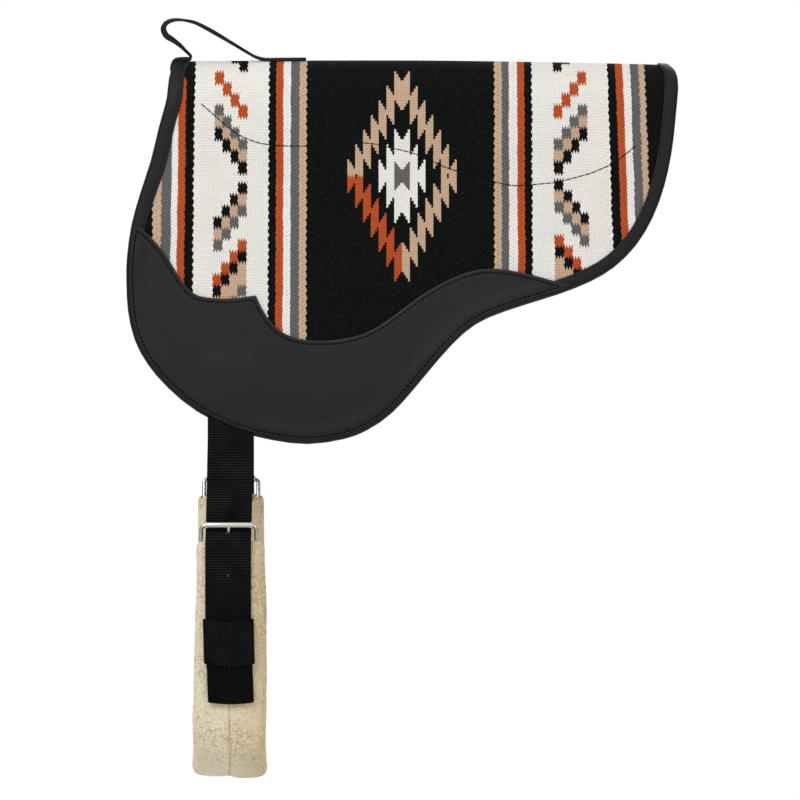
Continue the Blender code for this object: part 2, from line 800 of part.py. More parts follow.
def build_core(colours):
    """The webbing inside the sleeve, folded round each lower bar and slotted for each tongue."""
    near_bar = near_roller_z - buckle_height
    off_bar = off_roller_z - buckle_height
    centre_z = girth_lowest_z + sleeve_thickness / 2 + billet_out
    eye = buckle_wire / 2 + bore_clearance + tongue_wire
    fold_start = eye + tongue_slot_clearance * 2
    shift = 2 * bar_reach - webbing_thickness - part_gap
    path = Path((-billet_out + webbing_thickness + part_gap, near_bar - chape_length), (0, 1))
    side = Path((0, 0), (0, 1)).sidestep(shift, bar_reach, chape_fold_angle, 3)
    rest = chape_length - fold_start - side.stations[-1][1].y
    path.line(rest)
    path.sidestep(-shift, bar_reach, chape_fold_angle, 3)
    path.line(fold_start)
    near_turn = path.distance
    path.turn(bar_reach, math.pi, 10)
    near_turn_end = path.distance
    path.line(near_bar - centre_z)
    path.turn(billet_out, math.pi, 12)
    path.line(off_bar - centre_z)
    off_turn = path.distance
    path.turn(bar_reach, math.pi, 10)
    off_turn_end = path.distance
    path.line(fold_start)
    path.sidestep(shift, bar_reach, chape_fold_angle, 3)
    path.line(rest)
    half = webbing_thickness / 2
    body = rounded_box((billet_x, path.distance / 2), webbing_width, path.distance, half, 2)
    slot_width = tongue_wire + 2 * tongue_slot_clearance
    slots = [
        rounded_box((billet_x, (start + end) / 2), slot_width,
                    end - start + 2 * (eye + tongue_slot_clearance),
                    slot_width / 2 * hole_end_share)
        for start, end in ((near_turn, near_turn_end), (off_turn, off_turn_end))
    ]
    core = plate("girth_core_web", [body, *slots], -half, half)
    bend(core, path, 0, lambda x, out, up: Vector((x, out, up)))
    set_material(core, colours["webbing"])


# The hand strap


def build_handle(colours):
    """A strap on edge in the ridge's plane: a foot in front, a free loop and a tail behind."""
    front = (handle_front_share - 0.5) * pad_length
    lift = handle_thickness / 2 + part_gap
    foot_x = front + handle_length * handle_foot_share
    foot_drop = ridge_drop(foot_x - handle_foot_length)
    foot_z = ridge_top - foot_drop + binding_thickness + lift + part_gap
    tail_x = front + handle_length * handle_tail_share
    fold_radius = handle_thickness * handle_fold_share
    line = [Vector((foot_x - handle_foot_length * (1 - i / 3), foot_z)) for i in range(4)]
    fold_centre = Vector((foot_x, foot_z + fold_radius))
    for i in range(1, 6):
        angle = handle_fold_angle * i / 5 - math.pi / 2
        line.append(fold_centre + fold_radius * Vector((math.cos(angle), math.sin(angle))))
    loop = [
        Vector((front + handle_length * x, ridge_top + handle_rise * z))
        for x, z in handle_loop_shares
    ]
    tail = [
        Vector((tail_x + handle_tail_length * i / 4, 0.0)) for i in range(1, 5)
    ]
    for point in tail:
        point.y = ridge_top - ridge_drop(point.x) + lift
    line += smooth_line([line[-1], *loop, tail[0]], 2, False)[1:-1] + tail
    strap = plate("hand_strap", [thicken_line(line, handle_thickness)],
                  -handle_width / 2, handle_width / 2)
    strap.data.transform(Matrix.Rotation(math.pi / 2, 4, "X"))
    set_material(strap, colours["webbing"])


def build_part():
    clear_scene()
    colours = {
        "woven_blanket": finish_material("woven_wool", (0.55, 0.50, 0.42), 0.95),
        "felt_core": finish_material("grey_felt", (0.25, 0.25, 0.25), 0.95),
        "fleece_lining": finish_material("cream_fleece", (0.74, 0.68, 0.52), 0.98),
        "girth_fleece": finish_material("girth_fleece", (0.74, 0.67, 0.50), 0.98),
        "edge_binding": finish_material("black_binding", (0.022, 0.022, 0.022), 0.55),
        "wear_leather": finish_material("charcoal_leather", (0.024, 0.024, 0.025), 0.45),
        "webbing": finish_material("black_webbing", (0.010, 0.010, 0.011), 0.80),
        "nickel": finish_material("nickel_plate", (0.72, 0.71, 0.69), 0.20, 1.0),
    }
    build_layers(colours)
    build_binding(colours)
    build_handle(colours)
    build_sleeve(colours)
    build_core(colours)
    for side_name, side, roller_z, strap_break, clearance in (
        ("near", -1, near_roller_z, near_strap_break, 0.0),
        ("off", 1, off_roller_z, off_strap_break, open_pivot_clearance),
    ):
        build_wear_leather(f"{side_name}_wear_leather", side, colours)
        build_billet(side_name, side, roller_z, strap_break, clearance, colours)
        build_frame(side_name, side, roller_z, colours)
        build_roller(side_name, side, roller_z, colours)
        build_tongue(side_name, side, roller_z, colours)
        build_keeper(side_name, side, roller_z, colours)


build_part()
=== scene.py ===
# %% [markdown]
# # A bareback pad, piece by piece
# A bareback pad is a soft saddle without a tree. A woven wool blanket, a felt core and a fleece
# lining are bound together and hang folded over the horse's back. Leather covers the lower edge
# of each flap, a webbing billet hangs from under each leather, and a fleece girth joins the two
# billets under the belly. This lesson dresses the plain solids of that object in Blender.
#
# The solids come from a fixed frame: they carry the sizes, the joints and the collision shapes.
# Every piece made here stands in the same place as its solid, moves with the same body where it
# is given one, and adds what a plain solid lacks: weave, stitches, folds, curl and shine.

# %% Load the frame
import math

import bpy
import numpy as np
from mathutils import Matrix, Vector


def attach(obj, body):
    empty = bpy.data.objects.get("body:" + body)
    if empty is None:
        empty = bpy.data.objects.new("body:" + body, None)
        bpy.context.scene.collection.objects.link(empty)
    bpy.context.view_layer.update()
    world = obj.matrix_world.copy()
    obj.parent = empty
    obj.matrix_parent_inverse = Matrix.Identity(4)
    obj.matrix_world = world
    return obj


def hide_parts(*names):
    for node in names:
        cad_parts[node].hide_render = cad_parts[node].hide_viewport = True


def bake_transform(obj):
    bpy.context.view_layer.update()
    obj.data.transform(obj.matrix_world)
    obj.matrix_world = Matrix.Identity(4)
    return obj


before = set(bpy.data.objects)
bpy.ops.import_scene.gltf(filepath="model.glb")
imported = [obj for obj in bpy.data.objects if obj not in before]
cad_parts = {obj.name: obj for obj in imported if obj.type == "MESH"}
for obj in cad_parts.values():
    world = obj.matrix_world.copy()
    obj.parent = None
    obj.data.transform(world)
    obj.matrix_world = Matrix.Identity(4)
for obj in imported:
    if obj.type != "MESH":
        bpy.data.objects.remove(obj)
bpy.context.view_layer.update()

# %% [markdown]
# ## Lamps, room and camera
# The object hangs in front of a plain white background. A long lens far away keeps the near and
# the off side almost the same size, as a product photograph does. A short lens nearby would be
# easier to frame, but the off billet would then shrink and slide out from behind the near one.
#
# The room's white is plain light from all sides, and three large lamps add a little direction,
# so that ribs and stitches get a lit side and a dark side. A mirror in an all-white room looks
# like flat paint. So rays that bounce off shiny things see a bright front and ceiling and dark
# walls, and the nickel and the leather's rims get dark edges, as they do in a real studio.

# %% Room, lamps and camera
scene = bpy.context.scene
scene.view_settings.view_transform = "Standard"

room = bpy.data.worlds.new("white_room")
room.use_nodes = True
scene.world = room
room_nodes, room_links = room.node_tree.nodes, room.node_tree.links
room_light = room_nodes["Background"]
room_light.inputs["Color"].default_value = (1, 1, 1, 1)
room_light.inputs["Strength"].default_value = 0.62
room_seen = room_nodes.new("ShaderNodeBackground")
room_seen.inputs["Color"].default_value = (1, 1, 1, 1)
room_seen.inputs["Strength"].default_value = 1.0
room_mirrored = room_nodes.new("ShaderNodeBackground")
room_way = room_nodes.new("ShaderNodeTexCoord")
room_split = room_nodes.new("ShaderNodeSeparateXYZ")
room_links.new(room_way.outputs["Generated"], room_split.inputs[0])
room_sides = room_nodes.new("ShaderNodeMapRange")
room_above = room_nodes.new("ShaderNodeMapRange")
for ramp, axis, values in ((room_sides, "Y", (-0.75, -0.20, 1.10, 0.20)),
                           (room_above, "Z", (0.10, 0.90, 0.00, 0.90))):
    room_links.new(room_split.outputs[axis], ramp.inputs["Value"])
    for name, value in zip(("From Min", "From Max", "To Min", "To Max"), values):
        ramp.inputs[name].default_value = value
room_sum = room_nodes.new("ShaderNodeMath")
room_links.new(room_sides.outputs[0], room_sum.inputs[0])
room_links.new(room_above.outputs[0], room_sum.inputs[1])
room_links.new(room_sum.outputs[0], room_mirrored.inputs["Strength"])
room_path = room_nodes.new("ShaderNodeLightPath")
room_kinds = ((room_light, "Is Glossy Ray", room_mirrored), (None, "Is Camera Ray", room_seen))
for first, ray, second in room_kinds:
    room_mix = room_nodes.new("ShaderNodeMixShader")
    room_links.new(room_path.outputs[ray], room_mix.inputs["Fac"])
    room_links.new((first or room_last).outputs[0], room_mix.inputs[1])
    room_links.new(second.outputs[0], room_mix.inputs[2])
    room_last = room_mix
room_links.new(room_last.outputs[0], room_nodes["World Output"].inputs["Surface"])


def add_lamp(name, place, aim, size, power):
    """A square soft lamp that points at a place."""
    data = bpy.data.lights.new(name, "AREA")
    data.size = size
    data.energy = power
    lamp = bpy.data.objects.new(name, data)
    lamp.location = place
    lamp.rotation_euler = (Vector(aim) - Vector(place)).to_track_quat("-Z", "Y").to_euler()
    scene.collection.objects.link(lamp)


middle = (0.0, 0.0, -0.36)
add_lamp("key_lamp", (-1.3, -1.9, 1.3), middle, 1.1, 26)
add_lamp("fill_lamp", (2.0, -1.6, 0.2), middle, 1.6, 9)
add_lamp("back_lamp", (0.6, 2.2, 1.2), middle, 1.4, 22)

camera_data = bpy.data.cameras.new("long_lens")
camera_data.sensor_width = 36
picture_step = 0.61 / 550
frame_width = picture_step * 800
camera_distance = 12.0
camera_data.lens = camera_data.sensor_width * camera_distance / frame_width
camera_data.clip_end = 100
camera = bpy.data.objects.new("camera", camera_data)
camera.location = (-0.0022, -0.01 - camera_distance, -0.3570)
camera.rotation_euler = (math.pi / 2, 0, 0)
scene.collection.objects.link(camera)
scene.camera = camera
print("lens", round(camera_data.lens), "mm for a frame of", round(frame_width, 3), "m")

# %% [markdown]
# ## Numbers that vary over a surface
# A weave, a row of ribs or a stripe is arithmetic on a coordinate. In Blender that arithmetic is
# a chain of Math nodes, which is slow to wire by hand. A small helper keeps one socket and turns
# Python's plus and times into nodes, so a pattern can be written as a formula and read again
# later. Image textures would be quicker to place, but they would not stay sharp at any size.

# %% Arithmetic on sockets
class Field:
    """A number that varies over a surface, kept as a node's socket."""

    def __init__(self, socket):
        self.socket = socket

    def math(self, kind, *others):
        tree = self.socket.id_data
        node = tree.nodes.new("ShaderNodeMath")
        node.operation = kind
        for slot, value in zip(node.inputs, (self, *others)):
            if isinstance(value, Field):
                tree.links.new(value.socket, slot)
            else:
                slot.default_value = value
        return Field(node.outputs[0])

    def __add__(self, other):
        return self.math("ADD", other)

    def __sub__(self, other):
        return self.math("SUBTRACT", other)

    def __mul__(self, other):
        return self.math("MULTIPLY", other)

    def __truediv__(self, other):
        return self.math("DIVIDE", other)

    def under(self, other):
        return self.math("LESS_THAN", other)

    def over(self, other):
        return self.math("GREATER_THAN", other)

    def between(self, low, high):
        return self.over(low) * self.under(high)

    def clamped(self, low=0.0):
        """The same number, but never over 1 and never under the lowest value."""
        return self.math("MINIMUM", 1.0).math("MAXIMUM", low)

    def absolute(self):
        return self.math("ABSOLUTE")

    def floor(self):
        return self.math("FLOOR")

    def fraction(self):
        return self.math("FRACT")

    def ridge(self):
        """A row of round ridges, one for each whole number: 0 in the valleys and 1 on top."""
        return (self * math.pi).math("SINE").absolute()

    def zigzag(self):
        """From -1 to 1 and back for each whole number."""
        return self.math("PINGPONG", 0.5) * 4 - 1


def new_finish(name, roughness, specular=0.5, metallic=0.0):
    """A material with a Principled shader: the material, its node tree and the shader."""
    made = bpy.data.materials.new(name)
    made.use_nodes = True
    shader = made.node_tree.nodes["Principled BSDF"]
    shader.inputs["Roughness"].default_value = roughness
    shader.inputs["Specular IOR Level"].default_value = specular
    shader.inputs["Metallic"].default_value = metallic
    return made, made.node_tree, shader


def place_fields(tree, uv=None):
    """The coordinates of a surface point: its own UV map, or its place in the object."""
    if uv:
        node = tree.nodes.new("ShaderNodeUVMap")
        node.uv_map = uv
        vector = node.outputs["UV"]
    else:
        node = tree.nodes.new("ShaderNodeTexCoord")
        vector = node.outputs["Object"]
    split = tree.nodes.new("ShaderNodeSeparateXYZ")
    tree.links.new(vector, split.inputs[0])
    return vector, [Field(socket) for socket in split.outputs]


def noise_field(tree, vector, scale, detail, roughness=0.55, stretch=None):
    """A cloudy number around 0.5; stretch makes it finer along some axes than along others."""
    if stretch:
        scaled = tree.nodes.new("ShaderNodeVectorMath")
        scaled.operation = "MULTIPLY"
        scaled.inputs[1].default_value = stretch
        tree.links.new(vector, scaled.inputs[0])
        vector = scaled.outputs[0]
    node = tree.nodes.new("ShaderNodeTexNoise")
    node.inputs["Scale"].default_value = scale
    node.inputs["Detail"].default_value = detail
    node.inputs["Roughness"].default_value = roughness
    tree.links.new(vector, node.inputs["Vector"])
    return Field(node.outputs["Fac"])


def attribute_field(tree, name):
    """A number that is stored on the mesh's points."""
    node = tree.nodes.new("ShaderNodeAttribute")
    node.attribute_name = name
    return Field(node.outputs["Fac"])


def mix_colours(mask, first, second, tree):
    """The first colour where the mask is 0, the second where it is 1."""
    node = tree.nodes.new("ShaderNodeMix")
    node.data_type = "RGBA"
    tree.links.new(mask.socket, node.inputs["Factor"])
    for slot, colour in ((node.inputs[6], first), (node.inputs[7], second)):
        if isinstance(colour, tuple):
            slot.default_value = (*colour, 1)
        else:
            tree.links.new(colour, slot)
    return node.outputs[2]


def paint(tree, shader, colour, shade):
    """Give a shader its colour, multiplied by a number that varies over the surface."""
    node = tree.nodes.new("ShaderNodeMix")
    node.data_type = "RGBA"
    node.blend_type = "MULTIPLY"
    node.inputs["Factor"].default_value = 1.0
    grey = tree.nodes.new("ShaderNodeCombineColor")
    for slot in grey.inputs[:3]:
        tree.links.new(shade.socket, slot)
    if isinstance(colour, tuple):
        node.inputs[6].default_value = (*colour, 1)
    else:
        tree.links.new(colour, node.inputs[6])
    tree.links.new(grey.outputs[0], node.inputs[7])
    tree.links.new(node.outputs[2], shader.inputs["Base Color"])


def raise_surface(tree, shader, field, depth, strength=1.0):
    """Bump from a field: a height of 1 stands depth metres over a height of 0."""
    node = tree.nodes.new("ShaderNodeBump")
    node.inputs["Strength"].default_value = strength
    node.inputs["Distance"].default_value = depth
    tree.links.new(field.socket, node.inputs["Height"])
    tree.links.new(node.outputs[0], shader.inputs["Normal"])


# %% [markdown]
# ## The weaver's draft
# The blanket is woven on a loom, so its pattern is counted in threads. Four warp threads make one
# block, and every stripe is about one block wide. From the middle outward the draft has a black
# field, five narrow stripes, a cream field with small stair-steps, and five stripes again. A
# serrated diamond stands in the middle. Stripes, stair-steps and a serrated diamond are an old
# common pattern of saddle blankets.
#
# The pattern could be painted as coloured faces, but the saw-toothed edges would need a very fine
# mesh. Here it is a formula on the cloth's own coordinates: blocks across, and blocks down from
# the diamond's middle.

# %% Wool colours and the draft's numbers
def from_srgb(*values):
    """A colour as seen on screen, 0 to 255, in the linear numbers that a shader takes."""
    shares = [v / 255 for v in values]
    return tuple(v / 12.92 if v <= 0.04045 else ((v + 0.055) / 1.055) ** 2.4 for v in shares)


wool = {
    "black": from_srgb(17, 19, 18),
    "cream": from_srgb(240, 237, 229),
    "white": from_srgb(240, 236, 231),
    "orange": from_srgb(186, 82, 42),
    "grey": from_srgb(102, 101, 102),
    "tan": from_srgb(202, 172, 144),
}
block_size = picture_step * 7.8 * 0.9967
diamond_x, diamond_row = (400.5 - 402) * 0.61 / 550, (177 - 60) / 7.8
front_stripes = [
    (0, "black"), (11.95, "tan"), (12.9, "grey"), (14.01, "white"), (14.88, "orange"),
    (15.80, "black"), (16.87, "cream"), (26.28, "black"), (27.43, "orange"), (28.3, "white"),
    (29.16, "grey"), (30.37, "tan"), (31.5, "black"),
]
rear_stripes = [
    (0, "black"), (11.98, "tan"), (12.87, "grey"), (13.86, "white"), (14.93, "orange"),
    (15.84, "black"), (16.77, "cream"), (26.76, "black"), (27.84, "orange"), (28.76, "white"),
    (29.73, "grey"), (30.82, "tan"), (31.7, "black"),
]
stair_draft_up = [
    (0, "black"), (1, "tan"), (2, "grey"), (3, "cream"), (4.8, "orange"), (6, "cream"),
    (9, "black"),
]
stair_draft_down = [
    (0, "black"), (1, "tan"), (2, "grey"), (3, "cream"), (5, "orange"), (6, "black"),
    (7, "tan"), (9, "grey"), (10, "cream"),
]


def draft_colour(tree, field, draft, top):
    """The wool's colour for a count of blocks or rows, with a sharp change at each step, and a
    mask that leaves out the cream ground."""
    node = tree.nodes.new("ShaderNodeValToRGB")
    node.color_ramp.interpolation = "CONSTANT"
    ramp = node.color_ramp.elements
    while len(ramp) < len(draft):
        ramp.new(1.0)
    for stop, (start, colour) in zip(ramp, draft):
        stop.position = start / top
        stop.color = (*wool[colour], float(colour != "cream"))
    tree.links.new((field / top).socket, node.inputs[0])
    return node.outputs["Color"], Field(node.outputs["Alpha"])


# %% The woven wool
def weave_blanket():
    """Wool with the whole draft, read from the UV map named cloth, which counts in blocks."""
    made, tree, shader = new_finish("woven_wool", 0.93, specular=0.06)
    vector, (across, down, _) = place_fields(tree, "cloth")
    object_vector, _ = place_fields(tree)

    fuzz_a = noise_field(tree, vector, 5.0, 2.0) - 0.5
    fuzz_b = noise_field(tree, vector, 4.3, 2.0) - 0.5
    wander = noise_field(tree, vector, 0.35, 2.0) - 0.5
    rear = across.over(0.0)
    front_lean = across.math("MINIMUM", 0.0) * across.absolute() * (down + 8.0) * 1.71e-5
    rear_part = across.math("MAXIMUM", 0.0).math("MINIMUM", 28.0).math("POWER", 4.0)
    rear_lean = rear_part * (down + 2.19) * 5.76e-8
    lean = across - front_lean - rear_lean
    plain_side = (lean + wander * 0.30 + fuzz_a * 0.18).absolute()
    far_group = plain_side.over(22.0)
    bulge = (plain_side - 14.5 - far_group * 14.5) / -2.5
    bulge = bulge.clamped(-1.0)
    side = plain_side + ((down * 1.056).ridge() - 0.64) * bulge * 0.19
    stripes = mix_colours(rear, draft_colour(tree, side, front_stripes, 40)[0],
                          draft_colour(tree, side, rear_stripes, 40)[0], tree)
    under_foot = (down - lean * 0.9).under(12.25) * lean.under(-27.2)
    colour = mix_colours(under_foot, stripes, wool["black"], tree)

    comb = (lean * 2.75 + 0.25).zigzag() * 0.25 + fuzz_b * 0.30
    away = (down + comb).absolute()
    below = down.over(0.0)
    first_row = below * (rear * -0.39 + 0.41) + 0.44
    row_height = below * (rear * -0.038 + 0.021) + 1.445
    ripple = ((down * 1.4).ridge() - 0.64) * 0.12
    for overlap in (-0.07, 0.07):
        column = (((plain_side * -1.0 + rear * 0.19 + ripple + (23.76 + overlap))
                   / (rear * 0.035 + 1.02)).floor())
        row = (away - first_row) / row_height - (column * -1.0 + 3.0)
        stairs_down, drawn_down = draft_colour(tree, row, stair_draft_down, 16)
        stairs_up, drawn_up = draft_colour(tree, row, stair_draft_up, 16)
        drawn = drawn_up + (drawn_down - drawn_up) * below
        on_stairs = column.between(-0.5, 3.5) * row.over(below * 0.18 - 0.18) * drawn
        stairs = mix_colours(below, stairs_up, stairs_down, tree)
        colour = mix_colours(on_stairs, colour, stairs, tree)

    off_middle = (lean - 0.2 + fuzz_a * 0.14).absolute()
    tooth = off_middle.floor()
    slant = ((off_middle.fraction() * 4.0).floor() + 0.5) / 4.0 * -1.0 + 1.0
    height = (down - 0.03 + fuzz_b * 0.35).absolute()
    outline = height + tooth * 1.89 + slant * 1.6
    quarter = (down + comb).over(0.0) * (lean - 0.2).under(0.0)
    outline_colour = mix_colours(quarter, wool["tan"], wool["orange"], tree)
    near_middle = off_middle.under(7.0)
    colour = mix_colours(outline.between(9.93, 13.68) * near_middle, colour, outline_colour, tree)
    white_part = (height + tooth * 1.96 + slant * 1.7).under(6.2) * off_middle.under(3.0)
    colour = mix_colours(white_part, colour, wool["white"], tree)
    grey_part = (height + slant * 1.2).under(1.95) * off_middle.under(1.0)
    colour = mix_colours(grey_part, colour, wool["grey"], tree)

    wobble = fuzz_b * 0.8
    fine = lean * 4.0
    lay = fine.floor().math("MODULO", 2.0).absolute() * 2.0 - 1.0
    strands = (down * 2.9 + lay * (fine.fraction() - 0.5) * 0.55 + wobble).ridge()
    broad = (side + far_group * 0.45) * 2.0
    lay = broad.floor().math("MODULO", 2.0) * 2.0 - 1.0
    plaits = (down * 2.112 + lay * (broad.fraction() - 0.5) * 0.9 + wobble).ridge()
    in_stripes = side.between(12.0, 17.0) + side.over(26.35)
    relief = strands * 0.65 + fine.ridge() * 0.35
    relief = relief + (plaits * 0.8 + broad.ridge() * 0.2 - relief) * in_stripes
    hair = noise_field(tree, object_vector, 900.0, 4.0, 0.7)
    cloud = noise_field(tree, object_vector, 30.0, 3.0)
    light = tree.nodes.new("ShaderNodeSeparateColor")
    tree.links.new(colour, light.inputs[0])
    dark_wool = Field(light.outputs[0]).under(0.02)
    fleck = noise_field(tree, vector, 3.2, 3.0, 0.6, (0.45, 1.5, 1.0))
    fleck = (fleck - 0.56).math("MAXIMUM", 0.0) * dark_wool * 15.0 - dark_wool * 0.12
    depth = light.outputs[2]
    patchy = noise_field(tree, vector, 1.3, 2.0)
    contrast = (Field(depth) * -0.27 + 0.54) * (patchy * 1.4 + 0.3) + dark_wool * 0.35
    # Painted shade: the gaps between strands and plaits are painted darker, following the relief.
    shade = (relief - 0.62) * contrast + (hair - 0.5) * 0.5 + (cloud - 0.5) * 0.16 + 0.97 + fleck
    paint(tree, shader, colour, shade)
    raise_surface(tree, shader, relief + hair * 0.5, 0.00045)
    return made


blanket_wool = weave_blanket()
print("blanket wool:", len(blanket_wool.node_tree.nodes), "nodes")

# %% [markdown]
# ## The pad's shape, flat and folded
# A pad is cut flat, like a dress pattern, and then hung over the ridge. The same is done here.
# Each layer is built on the table with three numbers: along the pad, across the ridge and above
# the lining. One function then folds those numbers over the ridge. A Simple Deform modifier
# bends too, but it bends the whole piece at one rate; the function keeps the flaps flat and the
# ridge round.

# %% The fold over the ridge
inner_half = 0.030
blanket_top = 0.0201
outer_half = inner_half + blanket_top
quarter_turn = outer_half * math.pi / 2
pad_length, pad_drop = 0.610, 0.426
crest_place = (0.387 - 0.5) * pad_length


def ridge_sag(x):
    """How far the ridge lies under its highest point."""
    return 0.0055 * ((x - crest_place) / (pad_length / 2 - crest_place)) ** 2


def fold_places(places):
    """Flat places (along, across the ridge, above the lining) as places on the hung pad."""
    x, s, h = np.asarray(places, float).T
    angle = np.minimum(np.abs(s) / outer_half, math.pi / 2)
    straight = np.maximum(np.abs(s) - quarter_turn, 0)
    reach = inner_half + h
    return np.stack([x, np.sign(s) * reach * np.sin(angle),
                     reach * np.cos(angle) - inner_half - straight - ridge_sag(x)], 1)


def cloth_distance(depth):
    """Distance over the outer face from the ridge down to a depth."""
    depth = np.asarray(depth, float)
    bent = np.arccos(np.clip(1 - depth / outer_half, -1, 1)) * outer_half
    return np.where(depth < outer_half, bent, quarter_turn + depth - outer_half)


def vertex_array(obj):
    places = np.zeros(len(obj.data.vertices) * 3)
    obj.data.vertices.foreach_get("co", places)
    return places.reshape(-1, 3)


def set_vertices(obj, places):
    obj.data.vertices.foreach_set("co", np.asarray(places, np.float32).ravel())
    obj.data.update()


def from_picture(points):
    """Places counted in the picture's steps, in metres along the pad and below the ridge."""
    return np.array([((right - 402) * 0.61 / 550, (down - 60) * 0.61 / 550)
                     for right, down in points])


def smooth_line(points, steps, closed=False):
    """Points on a smooth curve that passes through the given ones."""
    points = np.array(points, float)
    count = len(points)
    line = []
    for i in range(count if closed else count - 1):
        places = [i - 1, i, i + 1, i + 2]
        a, b, c, d = (points[p % count if closed else min(max(p, 0), count - 1)] for p in places)
        for t in np.arange(steps) / steps:
            line.append(0.5 * (2 * b + (c - a) * t + (2 * a - 5 * b + 4 * c - d) * t * t
                               + (3 * b - a - 3 * c + d) * t ** 3))
    if not closed:
        line.append(points[-1])
    return np.array(line)


flap_edge = [
    (0.086, 0.000), (0.082, 0.010), (0.0765, 0.040), (0.073, 0.095), (0.066, 0.137),
    (0.058, 0.178), (0.044, 0.261), (0.025, 0.344), (0.009, 0.427), (0.001, 0.510),
    (0.000, 0.572),
    (0.003, 0.650), (0.015, 0.724), (0.038, 0.787), (0.075, 0.850), (0.129, 0.914),
    (0.198, 0.963), (0.264, 0.989), (0.329, 1.000), (0.395, 0.987), (0.438, 0.963),
    (0.482, 0.919), (0.525, 0.851), (0.569, 0.775), (0.613, 0.709), (0.656, 0.669),
    (0.722, 0.634), (0.787, 0.603), (0.842, 0.570), (0.885, 0.532), (0.925, 0.473),
    (0.955, 0.400), (0.976, 0.317), (0.989, 0.231), (0.996, 0.147), (1.001, 0.060),
    (1.001, 0.030), (0.998, 0.014), (0.991, 0.003), (0.989, 0.000),
]


def flat_places(shares):
    """Shares of the pad's length and drop, as flat places on the near flap."""
    shares = np.array(shares)
    return np.stack([(shares[:, 0] - 0.5) * pad_length,
                     -cloth_distance(shares[:, 1] * pad_drop)], 1)


near_edge = flat_places(flap_edge)
pad_edge = smooth_line(np.concatenate([near_edge, near_edge[-2:0:-1] * (1, -1)]), 2, True)


def inset_line(points, distance, closed=True):
    """A line moved to its left, which is inward on an outline that runs anticlockwise."""
    before = points - np.roll(points, 1, 0)
    after = np.roll(points, -1, 0) - points
    if not closed:
        before[0], after[-1] = after[0], before[-1]
    before /= np.linalg.norm(before, axis=1)[:, None]
    after /= np.linalg.norm(after, axis=1)[:, None]
    lean = before + after
    lean /= np.linalg.norm(lean, axis=1)[:, None]
    stretch = np.maximum((lean * after).sum(1), 0.5)
    return points + np.stack([-lean[:, 1], lean[:, 0]], 1) * (distance / stretch)[:, None]


def line_distance(places, line, closed=True):
    """How far flat places lie from a line."""
    starts = line if closed else line[:-1]
    ends = np.roll(line, -1, 0) if closed else line[1:]
    best = np.full(len(places), 1e9)
    for a, b in zip(starts, ends):
        run = b - a
        share = np.clip(((places - a) @ run) / (run @ run + 1e-18), 0, 1)
        best = np.minimum(best, np.linalg.norm(places - a - share[:, None] * run, axis=1))
    return best


def distance_along(line):
    """How far each point of a line lies from its start, measured over the line."""
    return np.concatenate([[0], np.cumsum(np.linalg.norm(np.diff(line, axis=0), axis=1))])


def directions(line, looped=False):
    """The way that a line runs at each of its points."""
    if looped:
        run = np.roll(line, -1, 0) - np.roll(line, 1, 0)
    else:
        run = np.gradient(line, axis=0)
    return run / np.linalg.norm(run, axis=1)[:, None]


def even_steps(line, step, closed=False):
    """The same line as points one step apart."""
    points = np.concatenate([line, line[:1]]) if closed else np.array(line)
    lengths = distance_along(points)
    count = max(int(round(lengths[-1] / step)), 2)
    at = np.linspace(0, lengths[-1], count + 1)
    if closed:
        at = at[:-1]
    return np.stack([np.interp(at, lengths, points[:, i]) for i in range(points.shape[1])], 1)


# %% [markdown]
# ## Cutting a layer
# Each layer starts as a flat circle primitive whose rim is pulled to the pattern's outline. The
# Bisect operator then slices it into a net of small cells, because a single large face can't
# bend. A grid primitive trimmed by a Boolean would do the same, but it leaves slivers along the
# edge. Solidify gives the layer its thickness.

# %% A helper that cuts a layer
def only(obj):
    """Select one object and make it active."""
    bpy.ops.object.select_all(action="DESELECT")
    obj.select_set(True)
    bpy.context.view_layer.objects.active = obj


def apply_all(obj):
    """Apply every modifier of an object."""
    only(obj)
    for modifier in list(obj.modifiers):
        bpy.ops.object.modifier_apply(modifier=modifier.name)
    return obj


def face_outward(obj):
    """Turn every face of a closed mesh to the outside."""
    only(obj)
    bpy.ops.object.mode_set(mode="EDIT")
    bpy.ops.mesh.select_all(action="SELECT")
    bpy.ops.mesh.normals_make_consistent(inside=False)
    bpy.ops.object.mode_set(mode="OBJECT")
    return obj


def write_cloth_map(mesh, pairs):
    """A UV map named cloth, from a pair of numbers for each vertex."""
    layer = mesh.uv_layers.new(name="cloth")
    ends = np.zeros(len(mesh.loops), int)
    mesh.loops.foreach_get("vertex_index", ends)
    layer.data.foreach_set("uv", pairs[ends].ravel())


def add_mesh(name, places, faces):
    """A new object from places and from faces that count them."""
    mesh = bpy.data.meshes.new(name)
    mesh.from_pydata(places.tolist(), [], faces)
    obj = bpy.data.objects.new(name, mesh)
    scene.collection.objects.link(obj)
    return obj


def round_edges(obj, width, segments):
    """Bevel the sharp edges of an object."""
    rounding = obj.modifiers.new("rounding", "BEVEL")
    rounding.width, rounding.segments = width, segments
    rounding.limit_method, rounding.angle_limit = "ANGLE", math.radians(60)
    return apply_all(obj)


def finish_piece(obj, finish, body, smooth):
    """Shade a piece, give it its finish and let it ride on its body, if it is given one."""
    obj.data.materials.clear()
    obj.data.materials.append(finish)
    only(obj)
    bpy.ops.object.shade_smooth_by_angle(angle=math.radians(smooth))
    if body:
        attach(obj, body)
    print(obj.name, len(obj.data.polygons), "faces")
    return obj


